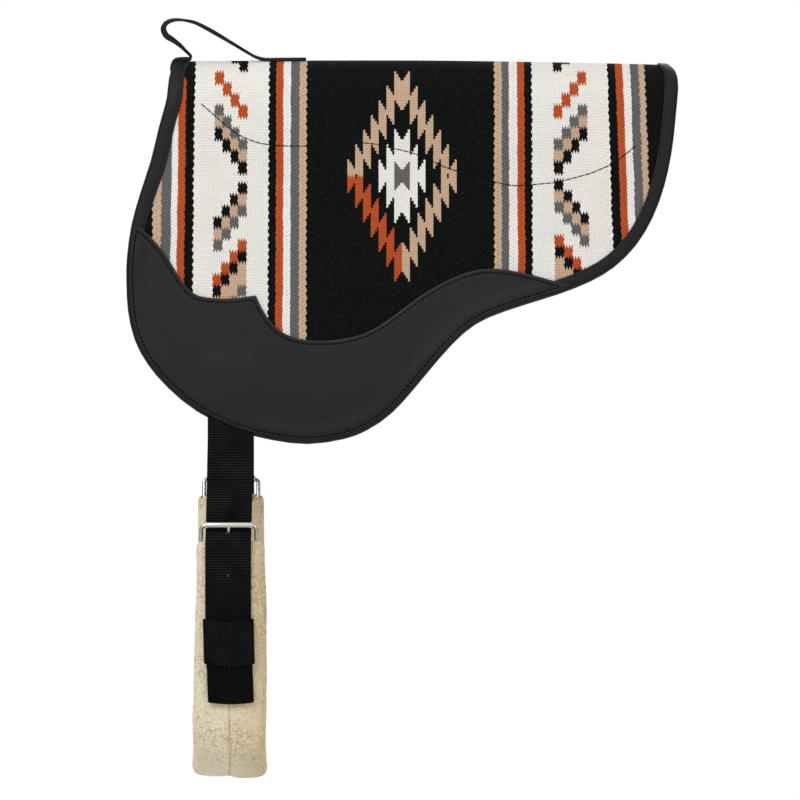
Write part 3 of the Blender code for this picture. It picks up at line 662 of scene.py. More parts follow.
def cut_layer(name, outline, cell, thickness, extra_cuts):
    """A flat layer with its outline, sliced into cells, from height 0 up to its thickness. The
    extra cuts are places along the pad and across the ridge."""
    bpy.ops.object.select_all(action="DESELECT")
    bpy.ops.mesh.primitive_circle_add(vertices=len(outline), radius=0.3, fill_type="NGON")
    layer = bpy.context.object
    layer.name = layer.data.name = name
    for vert, place in zip(layer.data.vertices, outline):
        vert.co = (*place, 0)
    low, high = outline.min(0), outline.max(0)
    bpy.ops.object.mode_set(mode="EDIT")
    for axis in (0, 1):
        normal = (1, 0, 0) if axis == 0 else (0, 1, 0)
        cuts = list(np.arange(math.floor(low[axis] / cell) + 0.5, high[axis] / cell) * cell)
        cuts += [c for c in extra_cuts[axis] if low[axis] < c < high[axis]]
        for place in sorted(cuts):
            bpy.ops.mesh.select_all(action="SELECT")
            bpy.ops.mesh.bisect(plane_co=[n * place for n in normal], plane_no=normal)
    bpy.ops.mesh.select_all(action="SELECT")
    bpy.ops.mesh.normals_make_consistent(inside=False)
    bpy.ops.object.mode_set(mode="OBJECT")
    if layer.data.polygons[0].normal.z < 0:
        layer.data.flip_normals()
    wall = layer.modifiers.new("wall", "SOLIDIFY")
    wall.thickness, wall.offset = thickness, 1
    return apply_all(layer)


rng = np.random.default_rng(7)
waves = [(rng.uniform(8, 30, 2) * rng.choice([-1, 1], 2), rng.uniform(0, 6.3)) for _ in range(14)]


def unevenness(places, size):
    """Soft hills and hollows, always the same ones."""
    total = np.zeros(len(places))
    for pace, start in waves:
        total += np.sin(places[:, :2] @ pace + start)
    return total / len(waves) * size * 2


pad_middle, squeezed_edge, layer_inset, rim_length = 0.01005, 0.0035, 0.0028, 2.6


def pinch(distance):
    """How much of the pad's thickness is left near its edge, where the binding squeezes it."""
    gap = np.clip(squeezed_edge - distance, 0, squeezed_edge)
    return 1 - (squeezed_edge - np.sqrt(squeezed_edge ** 2 - gap ** 2)) / pad_middle


ridge_cuts = (), [side * quarter_turn * i / 9 for side in (-1, 1) for i in range(10)]
layer_edge = even_steps(inset_line(pad_edge, layer_inset), 0.006, True)

# %% [markdown]
# ## Blanket, felt and lining
# The blanket is a sheet of wool 3.5 mm thick. Under it lies dense felt, and the lining is a short
# curly fleece that rests on the horse. The binding squeezes all three at the edge, so each layer
# gets thinner there and the pad's rim comes out round instead of square.
#
# The layers are modelled directly. Cloth simulation suits a cushion that is blown up; this pad is
# thin, flat and sewn, and its real faces are smooth to a millimetre.

# %% The three layers
ridge_strip = 0.037


def fold_layer(obj, low, high, finish, puff=0.0, under=0.0):
    """Give a cut layer its heights, squeeze its edge, fold it and keep its flat coordinates.

    The draft's rows are counted by depth below the ridge. In the strip on top of the ridge, where
    the depth hardly changes, they are counted by a share of the distance over the cloth.
    """
    flat = vertex_array(obj)
    top = flat[:, 2] > (high - low) / 2
    squeeze = pinch(line_distance(flat[:, :2], layer_edge))
    height = np.where(top, high + unevenness(flat, puff), low - unevenness(flat * 3.1, under))
    flat[:, 2] = pad_middle + (height - pad_middle) * squeeze
    set_vertices(obj, fold_places(flat))
    away = np.abs(flat[:, 1])
    bent = outer_half * (1 - np.cos(np.minimum(away / outer_half, math.pi / 2)))
    strip_depth = outer_half * (1 - math.cos(ridge_strip / outer_half))
    depth = np.where(away > ridge_strip, bent + np.maximum(away - quarter_turn, 0),
                     strip_depth - 0.68 * (ridge_strip - away))
    down = (depth + ridge_sag(flat[:, 0])) / block_size - diamond_row
    across = (flat[:, 0] - diamond_x) / block_size
    write_cloth_map(obj.data, np.stack([across, down], 1))
    return finish_piece(obj, finish, "pad", 60)


woven_sheet = cut_layer("woven_wool_sheet", layer_edge, 0.009, 0.0035, ridge_cuts)
fold_layer(woven_sheet, 0.0166, blanket_top, blanket_wool, puff=0.00022)
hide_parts("woven_blanket")


def make_felt():
    """Pressed grey wool with darker and lighter hairs."""
    made, tree, shader = new_finish("pressed_felt", 0.96)
    vector, _ = place_fields(tree)
    hair = noise_field(tree, vector, 700, 5, 0.75)
    paint(tree, shader, from_srgb(140, 138, 134), hair * 0.7 + 0.6)
    raise_surface(tree, shader, hair, 0.0005)
    return made


def make_fleece(name, colour, shadow, size, depth, seam=False):
    """Curly fleece: round tufts packed side by side, with painted shade in the thin gaps."""
    made, tree, shader = new_finish(name, 0.98, specular=0.12)
    shader.inputs["Sheen Weight"].default_value = 0.25
    shader.inputs["Sheen Roughness"].default_value = 0.7
    vector, (split_x, _, up) = place_fields(tree)
    warp = tree.nodes.new("ShaderNodeTexNoise")
    warp.inputs["Scale"].default_value = 0.35 / size
    warp.inputs["Detail"].default_value = 3
    tree.links.new(vector, warp.inputs["Vector"])
    bent = tree.nodes.new("ShaderNodeVectorMath")
    bent.operation = "MULTIPLY_ADD"
    tree.links.new(warp.outputs["Color"], bent.inputs[0])
    bent.inputs[1].default_value = (size * 2.2,) * 3
    tree.links.new(vector, bent.inputs[2])
    gaps = tree.nodes.new("ShaderNodeTexVoronoi")
    gaps.feature = "DISTANCE_TO_EDGE"
    gaps.inputs["Scale"].default_value = 1 / size
    tree.links.new(bent.outputs[0], gaps.inputs["Vector"])
    tuft = (Field(gaps.outputs["Distance"]) / 0.30).math("MINIMUM", 1.0)
    round_tuft = tuft.math("POWER", 0.45)
    hair = noise_field(tree, vector, 5 / size, 4, 0.7)
    patch = noise_field(tree, vector, 0.16 / size, 3)
    worn = (patch * 2.0 - 0.3).clamped(0.35)
    broken = noise_field(tree, vector, 0.9 / size, 2)
    broken = (broken * 3.2 - 1.0).clamped(0.20)
    # Painted shade in the gaps between tufts, patchy and broken.
    gap = (tuft * -1.0 + 1.0).math("POWER", 2.6) * worn * broken * 1.25
    if seam:
        warm = ((split_x + 0.190) * 25.0).clamped()
        turned = ((up + 0.772) * 40.0).clamped(0.3)
        # Painted shade: deeper gaps at the upper right, fainter ones where the sleeve turns under.
        gap = gap * (warm * ((up + 0.70) * 14.0).clamped() * 0.9 + 1.0) * turned
    mask = (gap + (hair - 0.5) * 0.5).clamped()
    shown = mix_colours(mask, colour, shadow, tree)
    if seam:
        shown = mix_colours(warm * 0.50, shown, from_srgb(198, 164, 108), tree)
        # Seam painted golden and darker: the fleece's own colour, and painted shade in the groove.
        line = attribute_field(tree, "seam") * (patch * 0.8 + 0.25)
        shown = mix_colours(line, shown, from_srgb(190, 144, 74), tree)
    tree.links.new(shown, shader.inputs["Base Color"])
    raise_surface(tree, shader, round_tuft * worn * (broken * 0.7 + 0.3) + hair * 0.3, depth)
    return made


felt_grey = make_felt()
lining_fleece = make_fleece("lining_fleece", from_srgb(233, 222, 192), from_srgb(198, 174, 130),
                            0.0048, 0.0013)
felt_pad = cut_layer("felt_pad", layer_edge, 0.018, 0.010, ridge_cuts)
fold_layer(felt_pad, 0.0063, 0.0163, felt_grey)
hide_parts("felt_core")
lining = cut_layer("lining_fleece_sheet", layer_edge, 0.010, 0.006, ridge_cuts)
fold_layer(lining, 0.0, 0.006, lining_fleece, under=0.0006)
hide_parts("fleece_lining")

# %% [markdown]
# ## Skinning a shape from rings
# Tape, webbing and the girth's sleeve all have one cross-section that travels along a line. A
# curve with a bevel object does this too, but it can't change the section on the way, and these
# need ribs, round ends and a wider middle. So each place on the line gets a ring of points, and
# neighbouring rings are joined by faces.

# %% Rings to a mesh
def skin(name, rings, looped=False, texture=None):
    """A closed mesh over rings of points; texture holds a pair of numbers for each point."""
    count, size = rings.shape[:2]
    spans = count if looped else count - 1
    i, j = np.meshgrid(np.arange(spans), np.arange(size), indexing="ij")
    k, m = (i + 1) % count, (j + 1) % size
    faces = np.stack([i * size + j, i * size + m, k * size + m, k * size + j], -1).reshape(-1, 4)
    faces = [tuple(face) for face in faces.tolist()]
    if not looped:
        faces += [tuple(range(size))[::-1], tuple(range((count - 1) * size, count * size))]
    obj = add_mesh(name, rings.reshape(-1, 3), faces)
    if texture is not None:
        write_cloth_map(obj.data, texture.reshape(-1, 2))
    return face_outward(obj)


def carve(obj, *tools):
    """Cut the tools out of an object with exact Booleans and remove them."""
    for tool in tools:
        cutting = obj.modifiers.new("carve", "BOOLEAN")
        cutting.object, cutting.solver = tool, "EXACT"
    apply_all(obj)
    for tool in tools:
        bpy.data.objects.remove(tool, do_unlink=True)
    return obj


def box_tool(corner, opposite):
    """A box to cut with, from one corner to the opposite one."""
    bpy.ops.object.select_all(action="DESELECT")
    place = [(a + b) / 2 for a, b in zip(corner, opposite)]
    bpy.ops.mesh.primitive_cube_add(size=1, location=place)
    tool = bpy.context.object
    tool.scale = [abs(b - a) for a, b in zip(corner, opposite)]
    bpy.ops.object.transform_apply(location=True, rotation=True, scale=True)
    return tool


# %% [markdown]
# ## Edge binding
# A tape of smooth black leather is folded round the pad's raw edge and sewn through all layers.
# Its section is a U: a flat leg on the blanket, a round nose over the edge and a flat leg on the
# lining. A bevelled edge on the blanket itself could fake it, but the tape's own thickness and
# its free inner edge are what the eye sees. It is opened where the billets come out.

# %% The binding tape
seam_mm = 4.2


def black_leather(name, colour, roughness, edge_groove=False):
    """Smooth finished leather: fine grain, soft shine, and a pressed line along a sewn edge."""
    made, tree, shader = new_finish(name, roughness, specular=0.21)
    vector, (_, _, up) = place_fields(tree)
    grain = noise_field(tree, vector, 1400, 3, 0.6)
    pore = tree.nodes.new("ShaderNodeTexVoronoi")
    pore.inputs["Scale"].default_value = 900
    tree.links.new(vector, pore.inputs["Vector"])
    cloud = noise_field(tree, vector, 14, 3)
    height = grain * 0.5 + Field(pore.outputs["Distance"]) * 0.35
    shade = grain * 0.2 + cloud * 0.35 + 0.72
    if edge_groove:
        edge = attribute_field(tree, "edge_mm")
        groove = ((edge - seam_mm) / 0.75).math("POWER", 2.0) * -1.0
        pressed = groove.math("EXPONENT")
        # Painted highlight: a thin light line along the leather's upper cut edge.
        painted_edge_highlight = attribute_field(tree, "upper_mm").under(1.1)
        rolled = (edge / 3.7).math("MINIMUM", 1.0) * math.pi
        height = height * 0.10 - pressed * 0.9 + rolled.math("SINE") * 0.55
        # Painted shade in the pressed groove, and a band along the rolled edge painted a little
        # lighter.
        shade = shade * (pressed * -0.45 + 1.0) + edge.under(3.3) * 0.12 + painted_edge_highlight * 0.8
        # Painted shade: darker toward the flap's lower edge, where less light falls from above.
        painted_light_from_above = ((up + 0.398) * 9.4).clamped()
        shade = shade * (painted_light_from_above * 0.52 + 0.62)
        raise_surface(tree, shader, height, 0.0006)
    else:
        raise_surface(tree, shader, height, 0.00007)
    worn = (cloud * 0.25 + roughness - 0.12).math("MAXIMUM", 0.2)
    tree.links.new(worn.socket, shader.inputs["Roughness"])
    paint(tree, shader, colour, shade)
    return made


binding_leather = black_leather("binding_leather", from_srgb(22, 22, 22), 0.55)
binding_face = 0.0150
tape_outer = np.array([
    (binding_face, 20.35), (binding_face, 21.2), (binding_face - 0.0007, 21.75), (0.0100, 22.0),
    (0.0062, 22.0), (0.0034, 21.4), (0.0014, 19.6), (0.0004, 16.6), (0.0, 10.05),
    (0.0004, 3.5), (0.0014, 0.5), (0.0034, -1.3), (0.0062, -1.9), (0.0100, -1.9),
    (binding_face - 0.0007, -1.65), (binding_face, -1.1), (binding_face, -0.25),
    (0.0095, -0.40), (0.0060, -0.25), (0.0040, 0.5), (0.0025, 2.6), (0.0020, 5.6),
    (0.0019, 10.05),
    (0.0020, 14.5), (0.0025, 17.5), (0.0040, 19.6), (0.0060, 20.35), (0.0095, 20.5),
])
tape_line = even_steps(pad_edge, 0.005, True)
tape_rings = []
front_edge_x, tape_nose = -0.15, 0.008
front_wider = np.interp(
    np.abs(tape_line[:, 1]),
    cloth_distance([0.0, 0.044, 0.061, 0.090, 0.118, 0.150, 0.180, 0.200]),
    [0.0026, 0.0026, 0.0018, 0.0026, 0.0028, 0.0020, 0.0008, 0.0])
front_wider *= tape_line[:, 0] < front_edge_x
for inset, height in tape_outer:
    ring_line = inset_line(tape_line, inset + front_wider * (inset > tape_nose))
    tape_rings.append(np.column_stack([ring_line, np.full(len(ring_line), height / 1000)]))
binding = skin("edge_binding_tape", np.stack(tape_rings, 1), looped=True)
billet_x, webbing_width, webbing_thickness = -0.19032, 0.0508, 0.0024
hinge_z = -0.401302
root_top = hinge_z + 0.075
hem_out = cloth_distance(pad_drop)
billet_opening = 0.0262
carve(binding, *[box_tool((billet_x - billet_opening, side * 0.40, 0.0203),
                          (billet_x + billet_opening, side * (hem_out + 0.01), 0.03))
                 for side in (-1, 1)])
set_vertices(binding, fold_places(vertex_array(binding)))
finish_piece(binding, binding_leather, "pad", 50)
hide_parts("edge_binding")

# %% [markdown]
# ## Wear leathers
# Smooth charcoal leather covers the lower part of each flap, where the rider's legs rub. Its
# upper edge runs in a wave. It lies on the blanket, climbs over the binding and over the billet's
# sewn end, and a row of stitches runs just inside its edge. Cutting it flat and then lifting each
# point over what lies below gives the soft steps that a stiff plate would lack.

# %% The leathers
leather_upper = np.concatenate([
    smooth_line(flat_places([
        (0.014, 0.419), (0.042, 0.454), (0.067, 0.496), (0.083, 0.531), (0.101, 0.573),
        (0.116, 0.598), (0.132, 0.613), (0.158, 0.619), (0.189, 0.621), (0.215, 0.617),
        (0.235, 0.613)]), 2)[:-1],
    smooth_line(flat_places([
        (0.235, 0.613), (0.244, 0.641), (0.259, 0.676), (0.279, 0.705), (0.303, 0.722),
        (0.330, 0.730), (0.361, 0.731), (0.392, 0.727), (0.427, 0.715), (0.458, 0.693),
        (0.493, 0.658), (0.528, 0.620), (0.568, 0.584), (0.603, 0.560), (0.638, 0.545),
        (0.668, 0.542), (0.697, 0.546), (0.727, 0.554), (0.757, 0.564), (0.779, 0.573),
        (0.804, 0.581)]), 2)])
hem_line = inset_line(pad_edge, 0.0035)
hem_start = int(np.argmin(np.linalg.norm(hem_line - leather_upper[0], axis=1)))
hem_end = int(np.argmin(np.linalg.norm(hem_line - leather_upper[-1], axis=1)))
leather_hem = hem_line[hem_start:hem_end + 1]
leather_cut = np.concatenate([leather_hem, leather_upper[::-1][1:-1]])
leather_thickness = 0.0019


def soft_step(value, start, end):
    """0 before the start, 1 after the end, and a smooth climb between them."""
    share = np.clip((value - start) / (end - start), 0, 1)
    return share * share * (3 - 2 * share)


def leather_floor(flat):
    """The height that the leather rests on: blanket, binding or billet."""
    x, away = flat[:, 0], np.abs(flat[:, 1])
    edge = line_distance(np.stack([x, -away], 1), pad_edge)
    tape = soft_step(edge, 0.0195, 0.0145) * 0.0018
    round_off = soft_step(edge, 0.0075, 0.0030) * 0.0012
    top = cloth_distance(-root_top + blanket_top)
    strap = (soft_step(np.abs(x - billet_x), 0.0340, 0.0248)
             * soft_step(away, top - 0.034, top + 0.002) * 0.0028)
    return 0.0204 + np.maximum(tape - round_off, strap)


def sew_points(line, closed_outline, edge_inset):
    """A stitch line inside an edge, stopped where the outline's other edge comes near."""
    inside = even_steps(inset_line(line, edge_inset, closed=False), 0.001)
    return inside[line_distance(inside, closed_outline) > edge_inset * 0.93]


charcoal_leather = black_leather("charcoal_leather", from_srgb(27, 27, 27), 0.52, True)
hem_inset, upper_inset = 0.0037, 0.0046
strap_sides = [billet_x + s * half for s in (-1, 1) for half in (0.0250, 0.0280, 0.0310, 0.0340)]
for side_name, side in (("near", 1), ("off", -1)):
    outline = leather_cut * (1, side)
    leather = cut_layer(f"{side_name}_leather", outline if side > 0 else outline[::-1], 0.005,
                        leather_thickness, (strap_sides, ()))
    round_edges(leather, 0.0007, 2)
    flat = vertex_array(leather)
    hem_far, upper_far = (line_distance(flat[:, :2], line * (1, side), closed=False)
                          for line in (leather_hem, leather_upper))
    for name, value in (("edge_mm", np.minimum(hem_far / hem_inset, upper_far / upper_inset)
                         * seam_mm),
                        ("upper_mm", upper_far * 1000)):
        leather.data.attributes.new(name, "FLOAT", "POINT").data.foreach_set("value", value)
    flat[:, 2] += leather_floor(flat) + unevenness(flat, 0.00012)
    set_vertices(leather, fold_places(flat))
    finish_piece(leather, charcoal_leather, "pad", 45)
    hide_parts(f"{side_name}_wear_leather")
print("leather cut:", np.ptp(leather_cut, axis=0).round(3), "m")

# %% [markdown]
# ## Stitches
# A stitch is a short piece of thread that shows between two needle holes. One stitch is modelled
# from a small sphere and copied along each seam in the flat pattern, before the fold, so that a
# seam can cross the ridge like the cloth does. A dashed texture would be lighter, but real thread
# catches the light and can be seen from the side. The sphere's faces are sorted, because
# Blender lists them in another order each run.

# %% Thread and seams
def thread_finish(name, colour):
    """Twisted thread, from fine slanted ridges."""
    made, tree, shader = new_finish(name, 0.85, specular=0.05)
    _, (x, y, z) = place_fields(tree)
    twist = ((x + y * 0.6 + z) * 1500.0).ridge()
    # Painted shade: the valleys between the twist's ridges are painted darker.
    paint(tree, shader, colour, twist * 0.4 + 0.7)
    raise_surface(tree, shader, twist, 0.00012)
    return made


bpy.ops.object.select_all(action="DESELECT")
bpy.ops.mesh.primitive_uv_sphere_add(segments=8, ring_count=5, radius=0.5)
stitch_master = bpy.context.object
stitch_shape = vertex_array(stitch_master)[:, [2, 0, 1]]
stitch_faces = sorted(tuple(face.vertices) for face in stitch_master.data.polygons)
bpy.data.objects.remove(stitch_master, do_unlink=True)


def sew(name, seams, finish, body, pitch=0.0049, length=0.0033, width=0.0012, fold=True):
    """Stitches along seams. A seam is a line of points with the surface's height as third number,
    in flat places if the seam is folded over the ridge, and otherwise in the frame's places with
    the seam's outward direction."""
    places, faces = [], []
    for seam, outward in seams:
        points = even_steps(seam, pitch)
        for a, b in zip(points, points[1:]):
            run = (b - a) / np.linalg.norm(b - a)
            side = np.cross(outward, run)
            shape = stitch_shape * (length, width, width * 0.8)
            local = shape[:, :1] * run + shape[:, 1:2] * side + shape[:, 2:] * np.array(outward)
            faces += [tuple(i + sum(map(len, places)) for i in face) for face in stitch_faces]
            places.append(local + (a + b) / 2)
    places = np.concatenate(places)
    obj = face_outward(add_mesh(name, fold_places(places) if fold else places, faces))
    return finish_piece(obj, finish, body, 80)


black_thread = thread_finish("black_thread", from_srgb(8, 8, 9))
dark_thread = thread_finish("dark_red_thread", from_srgb(34, 23, 25))
for side_name, side in (("near", 1), ("off", -1)):
    seams = []
    for line, inset in ((leather_hem, hem_inset), (leather_upper[::-1], upper_inset)):
        inside = sew_points(line, leather_cut, inset) * (1, side)
        height = leather_floor(inside) + leather_thickness - 0.00005
        seams.append((np.column_stack([inside, height]), (0, 0, 1)))
    sew(f"{side_name}_leather_stitches", seams, black_thread, "pad")

# %% [markdown]
# A single long line of dark thread wanders across each flap and quilts the blanket to the felt.
# The binding has its own seam close to its inner edge, where the leather doesn't cover it. Both
# could be painted on as dark dashes, but the thread has to stand a little above what it holds.

# %% The quilting line and the binding's seam
quilt_line = [
    (201.5, 104.5), (218.7, 119.4), (234.8, 133), (248.5, 140), (262, 144.4), (283, 146.6),
    (307, 146.8), (363, 143.6), (395.5, 149.7), (416, 155), (432, 162), (450.6, 170), (494, 182.5),
    (514.8, 186.4), (537.7, 184.8), (556, 183), (572, 179), (590.5, 173.8), (610, 165.3),
    (620.4, 158.4), (635.3, 146.5),
]
quilt = smooth_line(from_picture(quilt_line), 4)
quilt[:, 1] -= ridge_sag(quilt[:, 0])
for side_name, side in (("near", -1), ("off", 1)):
    line = np.column_stack([quilt[:, 0], side * cloth_distance(quilt[:, 1]),
                            np.full(len(quilt), blanket_top + 0.0002)])
    sew(f"{side_name}_quilting_thread", [(line, (0, 0, 1))], dark_thread, "pad",
        pitch=0.0075, length=0.0079, width=0.0012)
seam_inset, seam_top = 0.0022, 0.0219
seam = inset_line(pad_edge, binding_face - seam_inset)
seam_height = np.full(len(seam), seam_top)
bare = line_distance(np.stack([seam[:, 0], -np.abs(seam[:, 1])], 1), leather_cut) > 0.001
leather_starts = np.interp(seam[:, 0], leather_upper[:, 0], -leather_upper[:, 1])
under_leather = (np.abs(seam[:, 1]) > leather_starts) & (seam[:, 0] < leather_upper[-1, 0])
shown = bare & ~under_leather
runs = np.split(np.arange(len(seam)), np.where(np.diff(shown.astype(int)) != 0)[0] + 1)
binding_seams = [(np.column_stack([seam[run], seam_height[run]]), (0, 0, 1))
                 for run in runs if shown[run[0]] and len(run) > 3]
sew("edge_binding_stitches", binding_seams, black_thread, "pad",
    pitch=0.0049, length=0.0036, width=0.0008)

# %% [markdown]
# ## Webbing
# Billets, keepers, girth core and hand strap are woven webbing. Thick wefts cross it and stand
# out as ribs, about three millimetres apart on the wide one, and both edges are a little thicker
# where the wefts turn back. The ribs are modelled, because webbing is looked at from close by and
# against the light; the finer twist inside each rib is bump.
#
# A route is drawn like a strap really runs: straight pieces and turns. A Bezier curve can follow
# the same path, but turns of a known radius sit exactly on rollers and bars.

# %% Routes and straps
def make_webbing(name, colour, fades=False):
    """Woven polypropylene: dark wefts, and a thin painted highlight on the crest of each rib.

    Its UV map is in millimetres across the strap and in ribs along it. A billet's crests fade
    toward its lower end, which hangs in the shade.
    """
    made, tree, shader = new_finish(name, 0.55, specular=0.025)
    vector, (across, along, _) = place_fields(tree, "cloth")
    object_vector, (_, _, up) = place_fields(tree)
    patch = noise_field(tree, object_vector, 45, 3)
    crest = along.ridge().math("POWER", 7.0)
    strand = ((across + along) / 0.62).ridge()
    hair = noise_field(tree, object_vector, 1600, 3, 0.7)
    streak = noise_field(tree, vector, 0.5, 3, 0.6, (0.25, 5.0, 1.0))
    # Painted highlight: a thin light line on each rib's crest, in patches.
    lit = crest * (strand * 0.4 + 0.6) * (patch * 2.4 + streak * 1.4 - 1.2).math("MAXIMUM", 0.0)
    height = along.ridge() * 0.6 + strand * 0.25 + hair * 0.2
    if fades:
        lit = lit * ((up + 0.62) * 10.0).clamped(0.15)
    shade = lit * 8.0 + hair * 0.5 + 0.70
    paint(tree, shader, colour, shade)
    raise_surface(tree, shader, height, 0.00025)
    return made


black_webbing = make_webbing("black_webbing", from_srgb(10, 11, 11), fades=True)
keeper_webbing = make_webbing("keeper_webbing", from_srgb(8, 10, 10))
narrow_webbing = make_webbing("narrow_webbing", from_srgb(22, 23, 23))


class Route:
    """A strap's middle line in a plane: straights and turns; a turn to the left is positive."""

    def __init__(self, first, second, heading):
        self.points = [np.array([first, second], float)]
        self.heading = math.radians(heading)

    def ahead(self, length):
        step = np.array([math.cos(self.heading), math.sin(self.heading)])
        self.points.append(self.points[-1] + step * length)
        return self

    def turn(self, radius, degrees, steps=10):
        side = math.copysign(1, degrees)
        for _ in range(steps):
            left = np.array([-math.sin(self.heading), math.cos(self.heading)])
            centre = self.points[-1] + left * radius * side
            self.heading += math.radians(degrees) / steps
            left = np.array([-math.sin(self.heading), math.cos(self.heading)])
            self.points.append(centre - left * radius * side)
        return self

    def sidestep(self, shift, radius, degrees):
        """Two opposite turns and a straight, which move the line to its left by the shift."""
        side, lean = math.copysign(1, shift), math.radians(degrees)
        between = (abs(shift) - 2 * radius * (1 - math.cos(lean))) / math.sin(lean)
        return self.turn(radius, degrees * side).ahead(between).turn(radius, -degrees * side)


def weave_strap(name, line, width, thickness, across=(1, 0, 0), rib=0.00288, round_end=None,
                looped=False):
    """A strap with modelled ribs along a line of places; across is its width's direction."""
    if np.ndim(across) == 1:
        line = even_steps(line, rib / 4, looped)
    across = np.broadcast_to(np.array(across, float), line.shape)
    out = np.cross(directions(line, looped), across)
    out /= np.linalg.norm(out, axis=1)[:, None]
    along = distance_along(line)
    ribs = np.abs(np.sin(along / rib * math.pi)) - 0.6
    half = np.full(len(line), width / 2)
    if round_end:
        left = np.clip(round_end - (along[-1] - along), 0, round_end)
        half -= round_end - np.sqrt(round_end ** 2 - left ** 2)
    shares = [-1, -0.985, -0.95, -0.90, -0.60, -0.20, 0.20, 0.60, 0.90, 0.95, 0.985, 1]
    heights = [0, 0.82, 1.0, 0.93, 0.90, 0.90, 0.90, 0.90, 0.93, 1.0, 0.82, 0]
    section = [(a, h) for a, h in zip(shares, heights)]
    section += [(a, -h) for a, h in zip(shares[-2:0:-1], heights[-2:0:-1])]
    rings, texture = [], []
    for share, height in section:
        relief = 0.00011 * ribs * (abs(share) < 0.93) * np.sign(height)
        place = line + across * (share * half)[:, None]
        rings.append(place + out * (height * thickness / 2 + relief)[:, None])
        texture.append(np.column_stack([share * half * 1000, along / rib]))
    return skin(name, np.stack(rings, 1), looped, np.stack(texture, 1))


def punch(strap, holes, side):
    """Holes through a strap. A hole is its place and slope, and whether a tongue is in it."""
    tools = []
    for x, y, z, slope, used in holes:
        bpy.ops.object.select_all(action="DESELECT")
        inner, outer = (0.0024, 0.0024) if used else (0.0004, 0.0024)
        bpy.ops.mesh.primitive_cone_add(vertices=20, radius1=inner, radius2=outer, depth=0.006)
        tool = bpy.context.object
        for vert in tool.data.vertices:
            vert.co.y += math.copysign(0.0014 if used else 0.0005, vert.co.y)
        tool.rotation_euler = (math.radians(slope - 90) * side, 0, 0)
        tool.location = (x, side * y, z)
        bpy.ops.object.transform_apply(location=True, rotation=True, scale=True)
        tools.append(tool)
    return carve(strap, *tools)


def hang(z):
    """How far the near billet drifts sideways on its way down, as a worn strap does."""
    return np.interp(z, (-0.691, -0.649, -0.623, -0.590, -0.518, -0.490, -0.446, -0.401),
                     (0.0015, 0.0, -0.0009, -0.0016, -0.0016, -0.0011, 0.0, 0.0009))


# %% [markdown]
# ## Billets
# One billet is a single strap: sewn flat under the leather, hanging free, behind the buckle's
# roller, out through the frame and down over the fleece to its keeper. In the frame it is three
# solids, so that it can bend. Here the upper part is one strap from under the leather down to
# the roller, and the lower part starts behind the roller, where no eye can see the join.

# %% Billets with their holes
billet_out, tail_out, billet_end_z = 0.0516, 0.0688, -0.691902
near_roller_z, off_roller_z = -0.495602, -0.444802
roller_reach, roller_out = 0.00575, 0.05735
pass_angle, hole_pitch = 60, 0.0508
hole_above, used_below, used_out, free_below = 0.0373, 0.00871, 0.06094, 0.05559
buckle_sides = (("near", -1, near_roller_z), ("off", 1, off_roller_z))
for side_name, side, roller_z in buckle_sides:
    sway = hang if side < 0 else (lambda z: np.zeros_like(z))
    upper = even_steps(np.array([(billet_x, side * billet_out, root_top),
                                 (billet_x, side * billet_out, roller_z)]), 0.0005)
    upper[:, 0] += sway(upper[:, 2])
    strap = weave_strap(f"{side_name}_billet_strap", upper, webbing_width, webbing_thickness)
    first_hole = roller_z + hole_above
    if side < 0:
        x = billet_x + float(sway(first_hole))
        punch(strap, [(x, billet_out, first_hole, 0, False)], side)
    finish_piece(strap, black_webbing, None, 50)
    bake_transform(strap)
    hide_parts(f"{side_name}_billet", f"{side_name}_billet_root")

    route = Route(billet_out, roller_z, -90)
    route.sidestep(tail_out - billet_out, roller_reach, pass_angle)
    route.ahead(route.points[-1][1] - billet_end_z)
    lower = np.array([(billet_x, side * out, z) for out, z in route.points])
    lower = even_steps(lower, 0.00072)
    lower[:, 0] += sway(lower[:, 2])
    tail = weave_strap(f"{side_name}_billet_end", lower, webbing_width, webbing_thickness,
                       round_end=0.0015)
    places = vertex_array(tail)
    middle_x = billet_x + sway(places[:, 2])
    low_part = np.clip(1 - (places[:, 2] - billet_end_z) / 0.03, 0, 1) ** 2
    off_centre = (places[:, 0] - middle_x) / (webbing_width / 2)
    places[:, 2] += low_part * (0.0021 * off_centre ** 2 - 0.0010)
    set_vertices(tail, places)
    used_z = roller_z - used_below
    holes = [(billet_x + float(sway(used_z)), used_out, used_z, pass_angle, True)]
    holes += [(billet_x + float(sway(z)), tail_out, z, 0, False)
              for z in np.arange(roller_z - free_below, billet_end_z + 0.008, -hole_pitch)]
    punch(tail, holes, side)
    if side < 0:
        finish_piece(tail, black_webbing, None, 50)
        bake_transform(tail)
    else:
        finish_piece(tail, black_webbing, "girth", 50)
    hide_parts(f"{side_name}_billet_tail")

# %% [markdown]
# ## Keeper loops
# A short loop of the same webbing, sewn to the sleeve, holds the billet's end flat. Its ribs
# stand upright, because the webbing runs sideways there. It sags a little in the middle. A
# bevelled box would be a stiff ring; a strap led once round a rounded rectangle keeps its ribs.

